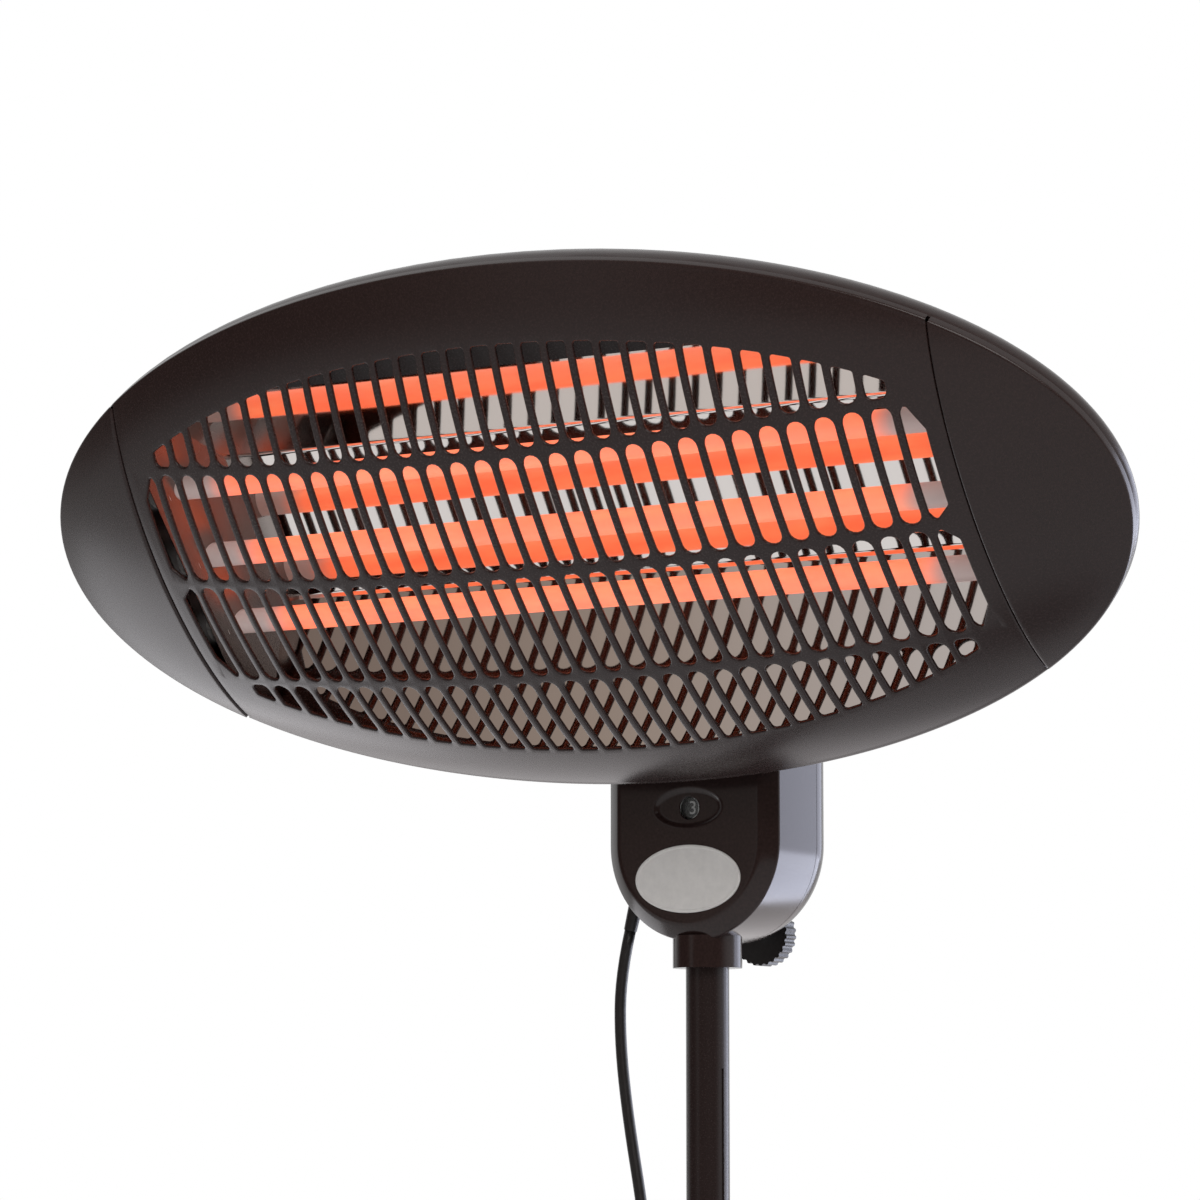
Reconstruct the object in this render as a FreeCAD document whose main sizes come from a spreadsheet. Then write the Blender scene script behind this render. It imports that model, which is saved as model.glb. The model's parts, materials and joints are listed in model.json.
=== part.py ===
"""Free-standing patio heater: weighted base, telescopic pole, control box and a tilting quartz heater head.

Millimetres. +Z is up, -Y is the side that the heater faces, and the origin is on the floor under the pole.
The head is drawn in its own frame (x across, y up its face, z out of its face, origin in the middle of its
rim) and is then set on the pole at its tilt.
"""
import FreeCAD, Part
import math
import os
from FreeCAD import Placement, Rotation, Vector

doc = FreeCAD.newDocument("patio_heater")
dims = doc.addObject("Spreadsheet::Sheet", "dims")

# Driving dimensions
SIZES = [
    # Head: an elliptical dome in front, a deeper elliptical shell behind
    ("head_half_width", 275), ("head_half_height", 135.2), ("dome_rise", 33.6), ("dome_flatness", 0.445),
    ("head_tilt", 38.74), ("head_forward", 123.8), ("rim_height", 1800), ("front_wall", 1.6),
    ("front_lip", 3), ("seam_offset", 211), ("cap_proud", 0.8), ("rear_depth", 45), ("rear_skirt", 6),
    ("rear_wall", 1.6), ("post_radius", 4), ("post_across", 120), ("post_up", 20),
    # Grille slots
    ("slot_pitch", 12.75), ("slot_width", 9.3), ("slot_columns", 32), ("row_bar", 3.8), ("row_length", 54),
    ("arc_half_width", 245), ("arc_half_height", 105), ("arc_corner", 1.2), ("end_cut_across", 7),
    ("end_cut_high", 12.5), ("end_cut_low", 6.5),
    # Reflector and quartz tubes
    ("reflector_back", 27.5), ("reflector_front", 12), ("reflector_back_half", 39),
    ("reflector_front_half", 105), ("reflector_top_half", 86), ("reflector_back_length", 165.4),
    ("reflector_front_length", 206), ("reflector_sheet", 0.8), ("reflector_clear", 5), ("tube_pitch", 37),
    ("tube_depth", 6), ("tube_radius", 5.7), ("tube_half_length", 209), ("tube_hole_play", 0.4),
    ("ceramic_radius", 9), ("ceramic_length", 12), ("ceramic_gap", 0.3), ("ceramic_play", 0.1),
    ("bracket_sheet", 1.5), ("bracket_half_height", 48), ("bracket_foot_depth", 19.5), ("bracket_front", 6),
    # Tilt hinge
    ("hinge_drop", 48), ("hinge_back", 10), ("barrel_radius", 10), ("barrel_length", 28),
    ("ear_thickness", 4), ("ear_gap", 0.5), ("ear_radius", 11), ("saddle_sheet", 2),
    ("saddle_half_width", 32), ("saddle_play", 0.1), ("bolt_radius", 4), ("running_play", 0.05),
    ("bolt_head_radius", 7), ("bolt_head_height", 5),
    # Control box
    ("box_top_drop", 66), ("box_arc_drop", 131.2), ("box_half", 45.2), ("box_top_round", 12),
    ("box_front", 12.3), ("box_split", 22.8), ("panel_rise", 5), ("panel_inset", 7.2), ("box_wall", 2.5),
    ("rear_round", 22), ("seat_play", 0.3),
    ("dial_drop", 115.4), ("dial_half_width", 17.5), ("dial_half_height", 8.5), ("dial_recess", 1.2),
    ("window_radius", 5.2), ("window_flange", 1.5), ("window_sheet", 1), ("wheel_radius", 15),
    ("wheel_sheet", 2), ("wheel_drop", 125.4), ("wheel_back", 12.3), ("shaft_radius", 2),
    ("switch_half", 11), ("badge_half_width", 27.9), ("badge_half_height", 15.6), ("badge_drop", 148),
    ("badge_sheet", 0.8), ("cover_screw_radius", 3.2), ("cover_screw_across", 16),
    # Head mount and lock knob
    ("collar_radius", 16), ("collar_bottom_drop", 188.3), ("collar_top_drop", 173.5), ("socket_radius", 13.5),
    ("socket_top_drop", 141), ("socket_roof", 2), ("web_half_width", 12), ("web_front", 4),
    ("web_thickness", 12), ("knob_drop", 171), ("knob_back", 48), ("knob_radius", 14.6),
    ("knob_length", 9), ("knob_teeth", 26), ("knob_tooth", 0.8), ("screw_radius", 2.5),
    # Telescopic pole
    ("upper_radius", 10), ("upper_wall", 1.2), ("upper_bottom", 560), ("key_width", 1.8), ("key_depth", 0.7),
    ("key_angle", 18), ("key_start", 46), ("lower_radius", 12.5), ("lower_wall", 1.6), ("lower_top", 980),
    ("fit_play", 0.08), ("bush_length", 40), ("bush_flange", 3), ("clamp_radius", 18),
    ("clamp_below", 30), ("clamp_above", 20), ("boss_radius", 7.5), ("boss_reach", 31), ("knob_gap", 2),
    ("guide_length", 8),
    ("spigot_length", 20),
    # Base
    ("base_radius", 250), ("base_height", 30), ("base_edge", 10), ("base_wall", 1.5), ("foot_height", 6),
    ("foot_radius", 16), ("foot_circle", 205), ("foot_count", 4), ("skirt_height", 4), ("flange_radius", 42),
    ("flange_height", 5), ("stub_height", 65), ("stub_wall", 4), ("flange_screw_radius", 4.5),
    ("flange_screw_height", 3), ("flange_screw_circle", 30), ("flange_screws", 4),
    # Mains lead
    ("cord_radius", 2.75), ("gland_length", 28), ("gland_root", 3.7), ("gland_tip", 3.05),
    ("coil_turns", 6), ("coil_outside", 42.5), ("coil_step", 6.3), ("coil_centre", 114), ("coil_tail", 40),
    ("tie_sheet", 1), ("tie_width", 8), ("tie_play", 0.4), ("plug_length", 40), ("plug_half_width", 15),
    ("plug_neck_length", 14), ("plug_neck_radius", 5), ("pin_radius", 2.4), ("pin_length", 19),
    ("pin_pitch", 19),
]
for row, (alias, size) in enumerate(SIZES, 1):
    dims.set("A%d" % row, alias)
    dims.set("B%d" % row, str(size))
    dims.setAlias("B%d" % row, alias)
doc.recompute()

sub_parts = []


def size(name):
    """One driving dimension as a number."""
    return float(dims.get(name))


def bind(obj, **expressions):
    """Bind properties to the sheet; a double underscore in a keyword is a dot in the property's path."""
    for path, expression in expressions.items():
        obj.setExpression(path.replace("__", "."), expression)
    return obj


TURNS = {
    "X": Rotation(Vector(0, 1, 0), 90),
    "Y": Rotation(Vector(1, 0, 0), -90),
    "Z": Rotation(),
}


def primitive(kind, name, at, axis, expressions):
    """A Part primitive with its base point bound to the sheet and its own axis along X, Y or Z."""
    obj = doc.addObject(kind, name)
    obj.Placement = Placement(Vector(), TURNS[axis])
    bind(obj, **expressions)
    bind(obj, Placement__Base__x=at[0], Placement__Base__y=at[1], Placement__Base__z=at[2])
    return obj


def box(name, at, length, width, height):
    return primitive("Part::Box", name, at, "Z", {"Length": length, "Width": width, "Height": height})


def cylinder(name, at, radius, height, axis="Z"):
    return primitive("Part::Cylinder", name, at, axis, {"Radius": radius, "Height": height})


def ellipsoid(name, half_x, half_y, half_z, z):
    obj = primitive("Part::Ellipsoid", name, ("0", "0", z), "Z",
                    {"Radius1": half_z, "Radius2": half_x, "Radius3": half_y})
    obj.Angle1 = -90
    return obj


def oval_prism(name, at, half_x, half_y, height, axis="Z"):
    """An elliptical prism: its long axis along X, raised along Z, or backwards along Y."""
    outline = doc.addObject("Part::Ellipse", name + "_outline")
    bind(outline, MajorRadius=half_x, MinorRadius=half_y)
    prism = doc.addObject("Part::Extrusion", name)
    prism.Base = outline
    prism.DirMode = "Custom"
    prism.Dir = Vector(0, 0, 1)
    prism.Solid = True
    prism.Placement = Placement(Vector(), TURNS[axis])
    bind(prism, LengthFwd=height)
    bind(prism, Placement__Base__x=at[0], Placement__Base__y=at[1], Placement__Base__z=at[2])
    return prism


def cut(name, base, *tools):
    """base less the tools."""
    obj = doc.addObject("Part::Cut", name)
    obj.Base = base
    obj.Tool = tools[0] if len(tools) == 1 else fuse(name + "_tools", *tools)
    return obj


def fuse(name, *parts):
    obj = doc.addObject("Part::MultiFuse", name)
    obj.Shapes = list(parts)
    return obj


def common(name, first, second):
    obj = doc.addObject("Part::Common", name)
    obj.Base = first
    obj.Tool = second
    return obj


def group(name, *parts):
    obj = doc.addObject("Part::Compound", name)
    obj.Links = list(parts)
    return obj


def feature(name, shape):
    obj = doc.addObject("Part::Feature", name)
    obj.Shape = shape
    return obj


def sub_part(obj, label):
    """Give a finished piece its label, which names its file."""
    obj.Label = label
    sub_parts.append(obj)
    return obj


def on_head(obj):
    """Carry a piece that is drawn in the head's frame to the head's place and tilt."""
    obj.Placement = Placement(Vector(), Rotation(Vector(1, 0, 0), 90))
    bind(obj, Placement__Rotation__Angle="90 + dims.head_tilt", Placement__Base__y="-dims.head_forward",
         Placement__Base__z="dims.rim_height")
    return obj


def face_of(points):
    return Part.Face(Part.makePolygon(points + [points[0]]))


# Head frame: the hinge axis and the dome's ellipsoid
TILT = math.radians(size("head_tilt"))
HINGE_Y = size("head_forward") + size("hinge_back")
HINGE_UP = -HINGE_Y * math.sin(TILT) - size("hinge_drop") * math.cos(TILT)
HINGE_OUT = -HINGE_Y * math.cos(TILT) + size("hinge_drop") * math.sin(TILT)
DOME_X = "(dims.head_half_width / sqrt(1 - dims.dome_flatness ^ 2))"
DOME_Y = "(dims.head_half_height / sqrt(1 - dims.dome_flatness ^ 2))"
DOME_Z = "(dims.dome_rise / (1 - dims.dome_flatness))"
DOME_CENTRE = "(-" + DOME_Z + " * dims.dome_flatness)"
HEAD_SPAN = "(4 * dims.head_half_width)"


def dome(name, grow):
    """The front dome's ellipsoid, grown or shrunk by an offset."""
    return ellipsoid(name, DOME_X + grow, DOME_Y + grow, DOME_Z + grow, DOME_CENTRE)


def front_skin(name, grow):
    """The front's sheet, dome and lip in one, before it is divided at the seams."""
    height = "dims.dome_rise + dims.front_lip + 10"
    outer = oval_prism(name + "_rim", ("0", "0", "-dims.front_lip"), "dims.head_half_width",
                       "dims.head_half_height", height)
    inner = oval_prism(name + "_bore", ("0", "0", "-dims.front_lip - 1"),
                       "dims.head_half_width - dims.front_wall", "dims.head_half_height - dims.front_wall",
                       height)
    solid = common(name + "_solid", dome(name + "_outside", grow), outer)
    hollow = common(name + "_hollow", dome(name + "_inside", " - dims.front_wall"), inner)
    return cut(name, solid, hollow)


def slot_prism(outline, across, up):
    """A slot, drawn in the upper right quarter of the face, as a prism in any of the four quarters."""
    floor = -size("front_lip") - 5
    points = [Vector(across * x, up * y, floor) for x, y in outline]
    if across * up < 0:
        points.reverse()
    return face_of(points).extrude(Vector(0, 0, 3 * size("dome_rise")))


def arc_height(x):
    return size("arc_half_height") * math.sqrt(1 - (x / size("arc_half_width")) ** 2)


def middle_slot(x, low, high, half):
    """A slot with its ends drawn in at the corners."""
    drawn, slope = half * 0.5, half * 0.87
    return [(x - drawn, low), (x + drawn, low), (x + half, low + slope), (x + half, high - slope),
            (x + drawn, high), (x - drawn, high), (x - half, high - slope), (x - half, low + slope)]


def arc_slot(x, low, half):
    """A slot whose outer end is cut along the arc."""
    drawn, slope, corner = half * 0.5, half * 0.87, size("arc_corner")
    left, right = x - half, x + half
    return [(x - drawn, low), (x + drawn, low), (right, low + slope), (right, arc_height(right) - corner),
            (right - corner, arc_height(right - corner)), (left + corner, arc_height(left + corner)),
            (left, arc_height(left) - corner), (left, low + slope)]


def end_slot(x, low, high, half):
    """The last slot of a row, with both outer corners cut off."""
    left, right, slope = x - half, x + half, half * 0.87
    start = right - size("end_cut_across")
    return [(start, low), (right, low + size("end_cut_low")), (right, high - size("end_cut_high")),
            (start, high), (left, high - slope), (left, low + slope)]


def grille_slots():
    """Four rows of slots: two full rows at the middle, and two that end on an elliptical arc."""
    half = size("slot_width") / 2
    low = size("row_bar") / 2
    high = low + size("row_length")
    outlines = []
    pairs = int(size("slot_columns") / 2)
    for column in range(pairs):
        x = (column + 0.5) * size("slot_pitch")
        if column < pairs - 1:
            outlines.append(middle_slot(x, low, high, half))
            outlines.append(arc_slot(x, high + size("row_bar"), half))
        else:
            outlines.append(end_slot(x, low, high, half))
    prisms = []
    for outline in outlines:
        for across in (1, -1):
            for up in (1, -1):
                prisms.append(slot_prism(outline, across, up))
    return feature("grille_slots", Part.makeCompound(prisms))


def front_grille():
    middle = box("grille_block", ("-dims.seam_offset", "-dims.head_half_width", "-50"),
                 "2 * dims.seam_offset", "2 * dims.head_half_width", "200")
    panel = common("grille_panel", front_skin("grille_skin", ""), middle)
    sub_part(on_head(cut("front_grille_cut", panel, grille_slots())), "front_grille")


def end_caps():
    """The plain ends of the front, a little prouder than the grille, outside the two seams."""
    for side, start in (("left", "-dims.seam_offset - " + HEAD_SPAN), ("right", "dims.seam_offset")):
        block = box("cap_block_" + side, (start, "-dims.head_half_width", "-50"), HEAD_SPAN,
                    "2 * dims.head_half_width", "200")
        skin = front_skin("cap_skin_" + side, " + dims.cap_proud")
        sub_part(on_head(common("cap_" + side, skin, block)), "end_cap_" + side)


def rear_ellipsoid(name, grow):
    return ellipsoid(name, "dims.head_half_width" + grow, "dims.head_half_height" + grow,
                     "dims.rear_depth" + grow, "-dims.rear_skirt")


def rear_shell():
    """The deep shell behind the rim, with four posts inside that carry the reflector."""
    slab = box("rear_slab", ("-" + HEAD_SPAN + " / 2", "-dims.head_half_width",
                             "-dims.front_lip - 3 * dims.rear_depth"),
               HEAD_SPAN, "2 * dims.head_half_width", "3 * dims.rear_depth")
    solid = common("rear_solid", rear_ellipsoid("rear_outside", ""), slab)
    skin = cut("rear_skin", solid, rear_ellipsoid("rear_inside", " - dims.rear_wall"))
    posts = []
    for across in ("dims.post_across", "-dims.post_across"):
        for up in ("dims.post_up", "-dims.post_up"):
            posts.append(cylinder("post", (across, up, "-dims.rear_depth - dims.rear_skirt"),
                                  "dims.post_radius",
                                  "dims.rear_depth + dims.rear_skirt - dims.reflector_back"
                                  " - dims.reflector_sheet"))
    inner = common("posts_in_shell", fuse("posts", *posts), rear_ellipsoid("rear_limit", ""))
    sub_part(on_head(fuse("rear_shell_fuse", skin, inner)), "rear_shell")


def trough(name, grow):
    """A trough-shaped block that widens towards the front, on all four sides."""
    obj = doc.addObject("Part::Wedge", name)
    obj.Placement = Placement(Vector(), Rotation(Vector(1, 0, 0), 90))
    back_x = "(dims.reflector_back_length" + grow + ")"
    front_x = "(dims.reflector_front_length" + grow + ")"
    back_y = "(dims.reflector_back_half" + grow + ")"
    front_y = "(dims.reflector_front_half" + grow + ")"
    bind(obj, Xmin="-" + back_x, Xmax=back_x, X2min="-" + front_x, X2max=front_x, Zmin="-" + back_y,
         Zmax=back_y, Z2min="-" + front_y, Z2max=front_y, Ymin="-(dims.reflector_back" + grow + ")",
         Ymax="dims.reflector_front")
    return obj


def reflector():
    """Polished tray: flat back, slanted walls all round, the top one shorter, and holes for the tubes."""
    holes = []
    for place in (-1, 0, 1):
        holes.append(cylinder("tube_hole", ("-dims.head_half_width", "%d * dims.tube_pitch" % place,
                                            "-dims.tube_depth"),
                              "dims.tube_radius + dims.tube_hole_play", "2 * dims.head_half_width", "X"))
    above = box("tray_above", ("-dims.head_half_width", "dims.reflector_top_half", "-dims.reflector_back"),
                "2 * dims.head_half_width", "dims.head_half_height", "2 * dims.reflector_back")
    tray = cut("tray", trough("tray_outside", " + dims.reflector_sheet"), trough("tray_inside", ""), above,
               *holes)
    limit = dome("tray_limit", " - dims.front_wall - dims.reflector_clear")
    sub_part(on_head(common("tray_in_dome", tray, limit)), "reflector")


# How far out the tray's end wall stands at a depth below the rim, on its outer side
TRAY_SLOPE = "((dims.reflector_front_length - dims.reflector_back_length)" \
             " / (dims.reflector_front + dims.reflector_back))"


def tray_end(depth):
    return ("(dims.reflector_back_length + 2 * dims.reflector_sheet + (dims.reflector_back - (%s)) * %s)"
            % (depth, TRAY_SLOPE))


def head_y(up, out):
    """World Y of a point in the head's frame, as an expression."""
    return ("-dims.head_forward - sin(dims.head_tilt * 1deg) * (%s) - cos(dims.head_tilt * 1deg) * (%s)"
            % (up, out))


def head_z(up, out):
    """World Z of a point in the head's frame, as an expression."""
    return ("dims.rim_height + cos(dims.head_tilt * 1deg) * (%s) - sin(dims.head_tilt * 1deg) * (%s)"
            % (up, out))


def quartz_tubes():
    for place, label in ((1, "quartz_tube_top"), (0, "quartz_tube_middle"), (-1, "quartz_tube_bottom")):
        up = "%d * dims.tube_pitch" % place
        tube = cylinder(label, ("-dims.tube_half_length", head_y(up, "-dims.tube_depth"),
                                head_z(up, "-dims.tube_depth")),
                        "dims.tube_radius", "2 * dims.tube_half_length", "X")
        sub_part(tube, label)


def ceramic_ends():
    """Three ceramic sockets outside each end wall of the tray, and the bracket that holds them."""
    near = "(%s + dims.ceramic_gap)" % tray_end("dims.tube_depth - dims.ceramic_radius")
    far = "(%s + dims.ceramic_length)" % near
    foot = tray_end("dims.bracket_foot_depth - dims.bracket_sheet")
    for side, right in (("left", False), ("right", True)):
        ends = []
        for place in (-1, 0, 1):
            at = (near if right else "-" + far, "%d * dims.tube_pitch" % place, "-dims.tube_depth")
            blank = cylinder("ceramic_blank", at, "dims.ceramic_radius", "dims.ceramic_length", "X")
            bore = cylinder("ceramic_bore", ("-dims.tube_half_length - dims.ceramic_play", at[1], at[2]),
                            "dims.tube_radius + dims.ceramic_play",
                            "2 * dims.tube_half_length + 2 * dims.ceramic_play", "X")
            ends.append(cut("ceramic_end", blank, bore))
        sub_part(on_head(group("ceramics_" + side, *ends)), "ceramic_ends_" + side)

        plate_at = far if right else "-%s - dims.bracket_sheet" % far
        plate = box("bracket_plate", (plate_at, "-dims.bracket_half_height", "-dims.bracket_foot_depth"),
                    "dims.bracket_sheet", "2 * dims.bracket_half_height",
                    "dims.bracket_foot_depth + dims.bracket_front")
        foot_at = foot if right else "-%s - dims.bracket_sheet" % far
        flat = box("bracket_foot", (foot_at, "-dims.bracket_half_height", "-dims.bracket_foot_depth"),
                   "%s - %s + dims.bracket_sheet" % (far, foot), "2 * dims.bracket_half_height",
                   "dims.bracket_sheet")
        sub_part(on_head(fuse("bracket_" + side, plate, flat)), "tube_bracket_" + side)


def tilt_bracket():
    """A saddle on the rear shell with two ears that take the hinge bolt."""
    strip = box("saddle_strip", ("-dims.saddle_half_width", "-0.74 * dims.head_half_height", "-100"),
                "2 * dims.saddle_half_width", "0.36 * dims.head_half_height", "75")
    plate = common("saddle_plate", rear_ellipsoid("saddle_outside", " + dims.saddle_sheet"), strip)
    hinge = Vector(0, HINGE_UP, HINGE_OUT)
    radius = size("ear_radius")
    reach = Vector(0, -0.58 * size("head_half_height"), -0.8 * size("rear_depth")) - hinge
    square = Vector(0, -reach.z, reach.y).normalize() * radius
    root_low = Vector(0, -0.715 * size("head_half_height"), -0.6 * size("rear_depth"))
    root_high = Vector(0, -0.42 * size("head_half_height"), -0.75 * size("rear_depth"))
    first = size("barrel_length") / 2 + size("ear_gap")
    ears = []
    for x in (first, -first - size("ear_thickness")):
        shift = Vector(x, 0, 0)
        arm = [hinge + square + shift, root_low + shift, root_high + shift, hinge - square + shift]
        ears.append(face_of(arm).extrude(Vector(size("ear_thickness"), 0, 0)))
        ears.append(Part.makeCylinder(radius, size("ear_thickness"), hinge + shift, Vector(1, 0, 0)))
    arms = feature("ears", ears[0].multiFuse(ears[1:]))
    hole = feature("ear_holes", Part.makeCylinder(size("bolt_radius") + size("running_play"), 200,
                                                  hinge - Vector(100, 0, 0), Vector(1, 0, 0)))
    joined = fuse("bracket_joined", plate, arms)
    seat = rear_ellipsoid("bracket_seat", " + dims.saddle_play")
    sub_part(on_head(cut("tilt_bracket_cut", joined, seat, hole)), "tilt_bracket")


# Control box, head mount and lock knob: heights count down from the rim's middle
HINGE_Z = "dims.rim_height - dims.hinge_drop"
HINGE_AT_Y = "dims.hinge_back"


def hinge_bolt():
    """The bolt through the ears and the barrel, and the nut on its other end."""
    grip = "(dims.barrel_length / 2 + dims.ear_gap + dims.ear_thickness + 0.2)"
    shank = cylinder("bolt_shank", ("-" + grip + " - dims.bolt_head_height", HINGE_AT_Y, HINGE_Z),
                     "dims.bolt_radius", "2 * " + grip + " + dims.bolt_head_height", "X")
    head = cylinder("bolt_head", (grip, HINGE_AT_Y, HINGE_Z), "dims.bolt_head_radius",
                    "dims.bolt_head_height", "X")
    sub_part(fuse("hinge_bolt_fuse", shank, head), "hinge_bolt")
    blank = doc.addObject("Part::Prism", "nut_blank")
    blank.Placement = Placement(Vector(), TURNS["X"])
    blank.Polygon = 6
    bind(blank, Circumradius="dims.bolt_head_radius", Height="dims.bolt_head_height",
         Placement__Base__x="-" + grip + " - dims.bolt_head_height", Placement__Base__y=HINGE_AT_Y,
         Placement__Base__z=HINGE_Z)
    bore = cylinder("nut_bore", ("-dims.head_half_width", HINGE_AT_Y, HINGE_Z),
                    "dims.bolt_radius + dims.running_play", "dims.head_half_width", "X")
    sub_part(cut("hinge_nut_cut", blank, bore), "hinge_nut")


def head_mount():
    """The casting on top of the pole: collar, pole socket with a hole for the lock screw, web and barrel."""
    collar = cylinder("collar", ("0", "0", "dims.rim_height - dims.collar_bottom_drop"),
                      "dims.collar_radius", "dims.collar_bottom_drop - dims.collar_top_drop")
    socket = cylinder("socket", ("0", "0", "dims.rim_height - dims.collar_bottom_drop"),
                      "dims.socket_radius", "dims.collar_bottom_drop - dims.socket_top_drop")
    web = box("web", ("-dims.web_half_width", "dims.web_front", "dims.rim_height - dims.collar_top_drop"),
              "2 * dims.web_half_width", "dims.web_thickness", "dims.collar_top_drop - dims.hinge_drop")
    barrel = cylinder("barrel", ("-dims.barrel_length / 2", HINGE_AT_Y, HINGE_Z), "dims.barrel_radius",
                      "dims.barrel_length", "X")
    bore = cylinder("pole_bore", ("0", "0", "dims.rim_height - dims.collar_bottom_drop - 1"),
                    "dims.upper_radius + dims.fit_play",
                    "dims.collar_bottom_drop - dims.socket_top_drop - dims.socket_roof + 1")
    screw_hole = cylinder("screw_hole", ("0", "0", "dims.rim_height - dims.knob_drop"),
                          "dims.screw_radius + dims.running_play", "dims.knob_back", "Y")
    bolt_hole = cylinder("bolt_hole", ("-dims.barrel_length", HINGE_AT_Y, HINGE_Z),
                         "dims.bolt_radius + dims.running_play", "2 * dims.barrel_length", "X")
    casting = fuse("mount_casting", collar, socket, web, barrel)
    sub_part(cut("head_mount_cut", casting, bore, screw_hole, bolt_hole), "head_mount")


def box_outline(inset, y):
    """The control box's outline, straight above and round below, drawn in by an inset."""
    half = size("box_half") - inset
    top = size("rim_height") - size("box_top_drop") - inset
    low = size("rim_height") - size("box_arc_drop")
    bend = max(size("box_top_round") - inset, 1)
    slack = bend * (1 - math.sqrt(0.5))
    left, right = Vector(-half, y, top - bend), Vector(half, y, top - bend)
    top_left, top_right = Vector(bend - half, y, top), Vector(half - bend, y, top)
    return Part.Wire([
        Part.Arc(left, Vector(slack - half, y, top - slack), top_left).toShape(),
        Part.LineSegment(top_left, top_right).toShape(),
        Part.Arc(top_right, Vector(half - slack, y, top - slack), right).toShape(),
        Part.LineSegment(right, Vector(half, y, low)).toShape(),
        Part.Arc(Vector(half, y, low), Vector(0, y, low - half), Vector(-half, y, low)).toShape(),
        Part.LineSegment(Vector(-half, y, low), left).toShape(),
    ])


def box_front():
    """Front half of the control box: straight walls, a sloped border and a raised panel."""
    face, split, rise = -size("box_front"), size("box_split"), size("panel_rise")
    wall, inset = size("box_wall"), size("panel_inset")
    body = Part.Face(box_outline(0, face)).extrude(Vector(0, split - face, 0))
    border = Part.makeLoft([box_outline(0, face), box_outline(inset, face - rise)], True, True)
    room = Part.Face(box_outline(wall, face)).extrude(Vector(0, split - face, 0))
    slope = Part.makeLoft([box_outline(wall, face), box_outline(inset + wall, face - rise + wall)],
                          True, True)
    shell = feature("box_shell", body.fuse(border).cut(room).cut(slope).removeSplitter())
    panel = "(-dims.box_front - dims.panel_rise)"
    dial = "dims.rim_height - dims.dial_drop"
    recess = oval_prism("dial_recess_cut", ("0", panel + " - 1", dial), "dims.dial_half_width",
                        "dims.dial_half_height", "1 + dims.dial_recess", "Y")
    window = cylinder("window_cut", ("0", panel + " - 1", dial), "dims.window_radius",
                      "dims.box_wall + 3", "Y")
    foot = "dims.rim_height - dims.collar_bottom_drop"
    collar = cylinder("collar_cut", ("0", "0", foot), "dims.collar_radius + dims.seat_play",
                      "dims.collar_bottom_drop - dims.collar_top_drop + dims.seat_play")
    socket = cylinder("socket_cut", ("0", "0", foot), "dims.socket_radius + dims.seat_play",
                      "dims.collar_bottom_drop - dims.socket_top_drop + dims.seat_play")
    web = box("web_cut", ("-dims.web_half_width - dims.seat_play", "dims.web_front - dims.seat_play",
                          "dims.rim_height - dims.collar_top_drop"),
              "2 * dims.web_half_width + 2 * dims.seat_play", "dims.web_thickness + 2 * dims.seat_play",
              "dims.collar_top_drop")
    gland = feature("gland_cut", gland_cone(size("seat_play"), 0))
    sub_part(cut("box_front_cut", shell, recess, window, collar, socket, web, gland), "box_front")


def box_rear():
    """Rear cover of the control box, its back edge rounded right over."""
    split, depth, wall = size("box_split"), size("rear_round"), size("box_wall")

    def pillow(inset):
        block = Part.Face(box_outline(inset, split)).extrude(Vector(0, depth - inset, 0))
        back = [e for e in block.Edges if e.BoundBox.YMin > split + depth - inset - 0.01]
        return block.makeFillet(depth - inset - 1, back)

    shell = feature("cover_shell", pillow(0).cut(pillow(wall)))
    hole = cylinder("cover_hole", ("0", "0", "dims.rim_height - dims.knob_drop"),
                    "dims.screw_radius + dims.seat_play", "2 * dims.knob_back", "Y")
    sub_part(cut("box_rear_cut", shell, hole), "box_rear")


def cover_screws():
    """Four pan-head screws on the flat of the rear cover."""
    middle = "(dims.box_top_drop + dims.box_arc_drop + dims.box_half) / 2"
    heads = []
    for across in ("dims.cover_screw_across", "-dims.cover_screw_across"):
        for up in ("dims.cover_screw_across", "-dims.cover_screw_across"):
            heads.append(cylinder("cover_screw", (across, "dims.box_split + dims.rear_round",
                                                  "dims.rim_height - %s + 1.3 * %s" % (middle, up)),
                                  "dims.cover_screw_radius", "dims.cover_screw_radius / 2", "Y"))
    sub_part(group("cover_screw_group", *heads), "cover_screws")


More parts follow.
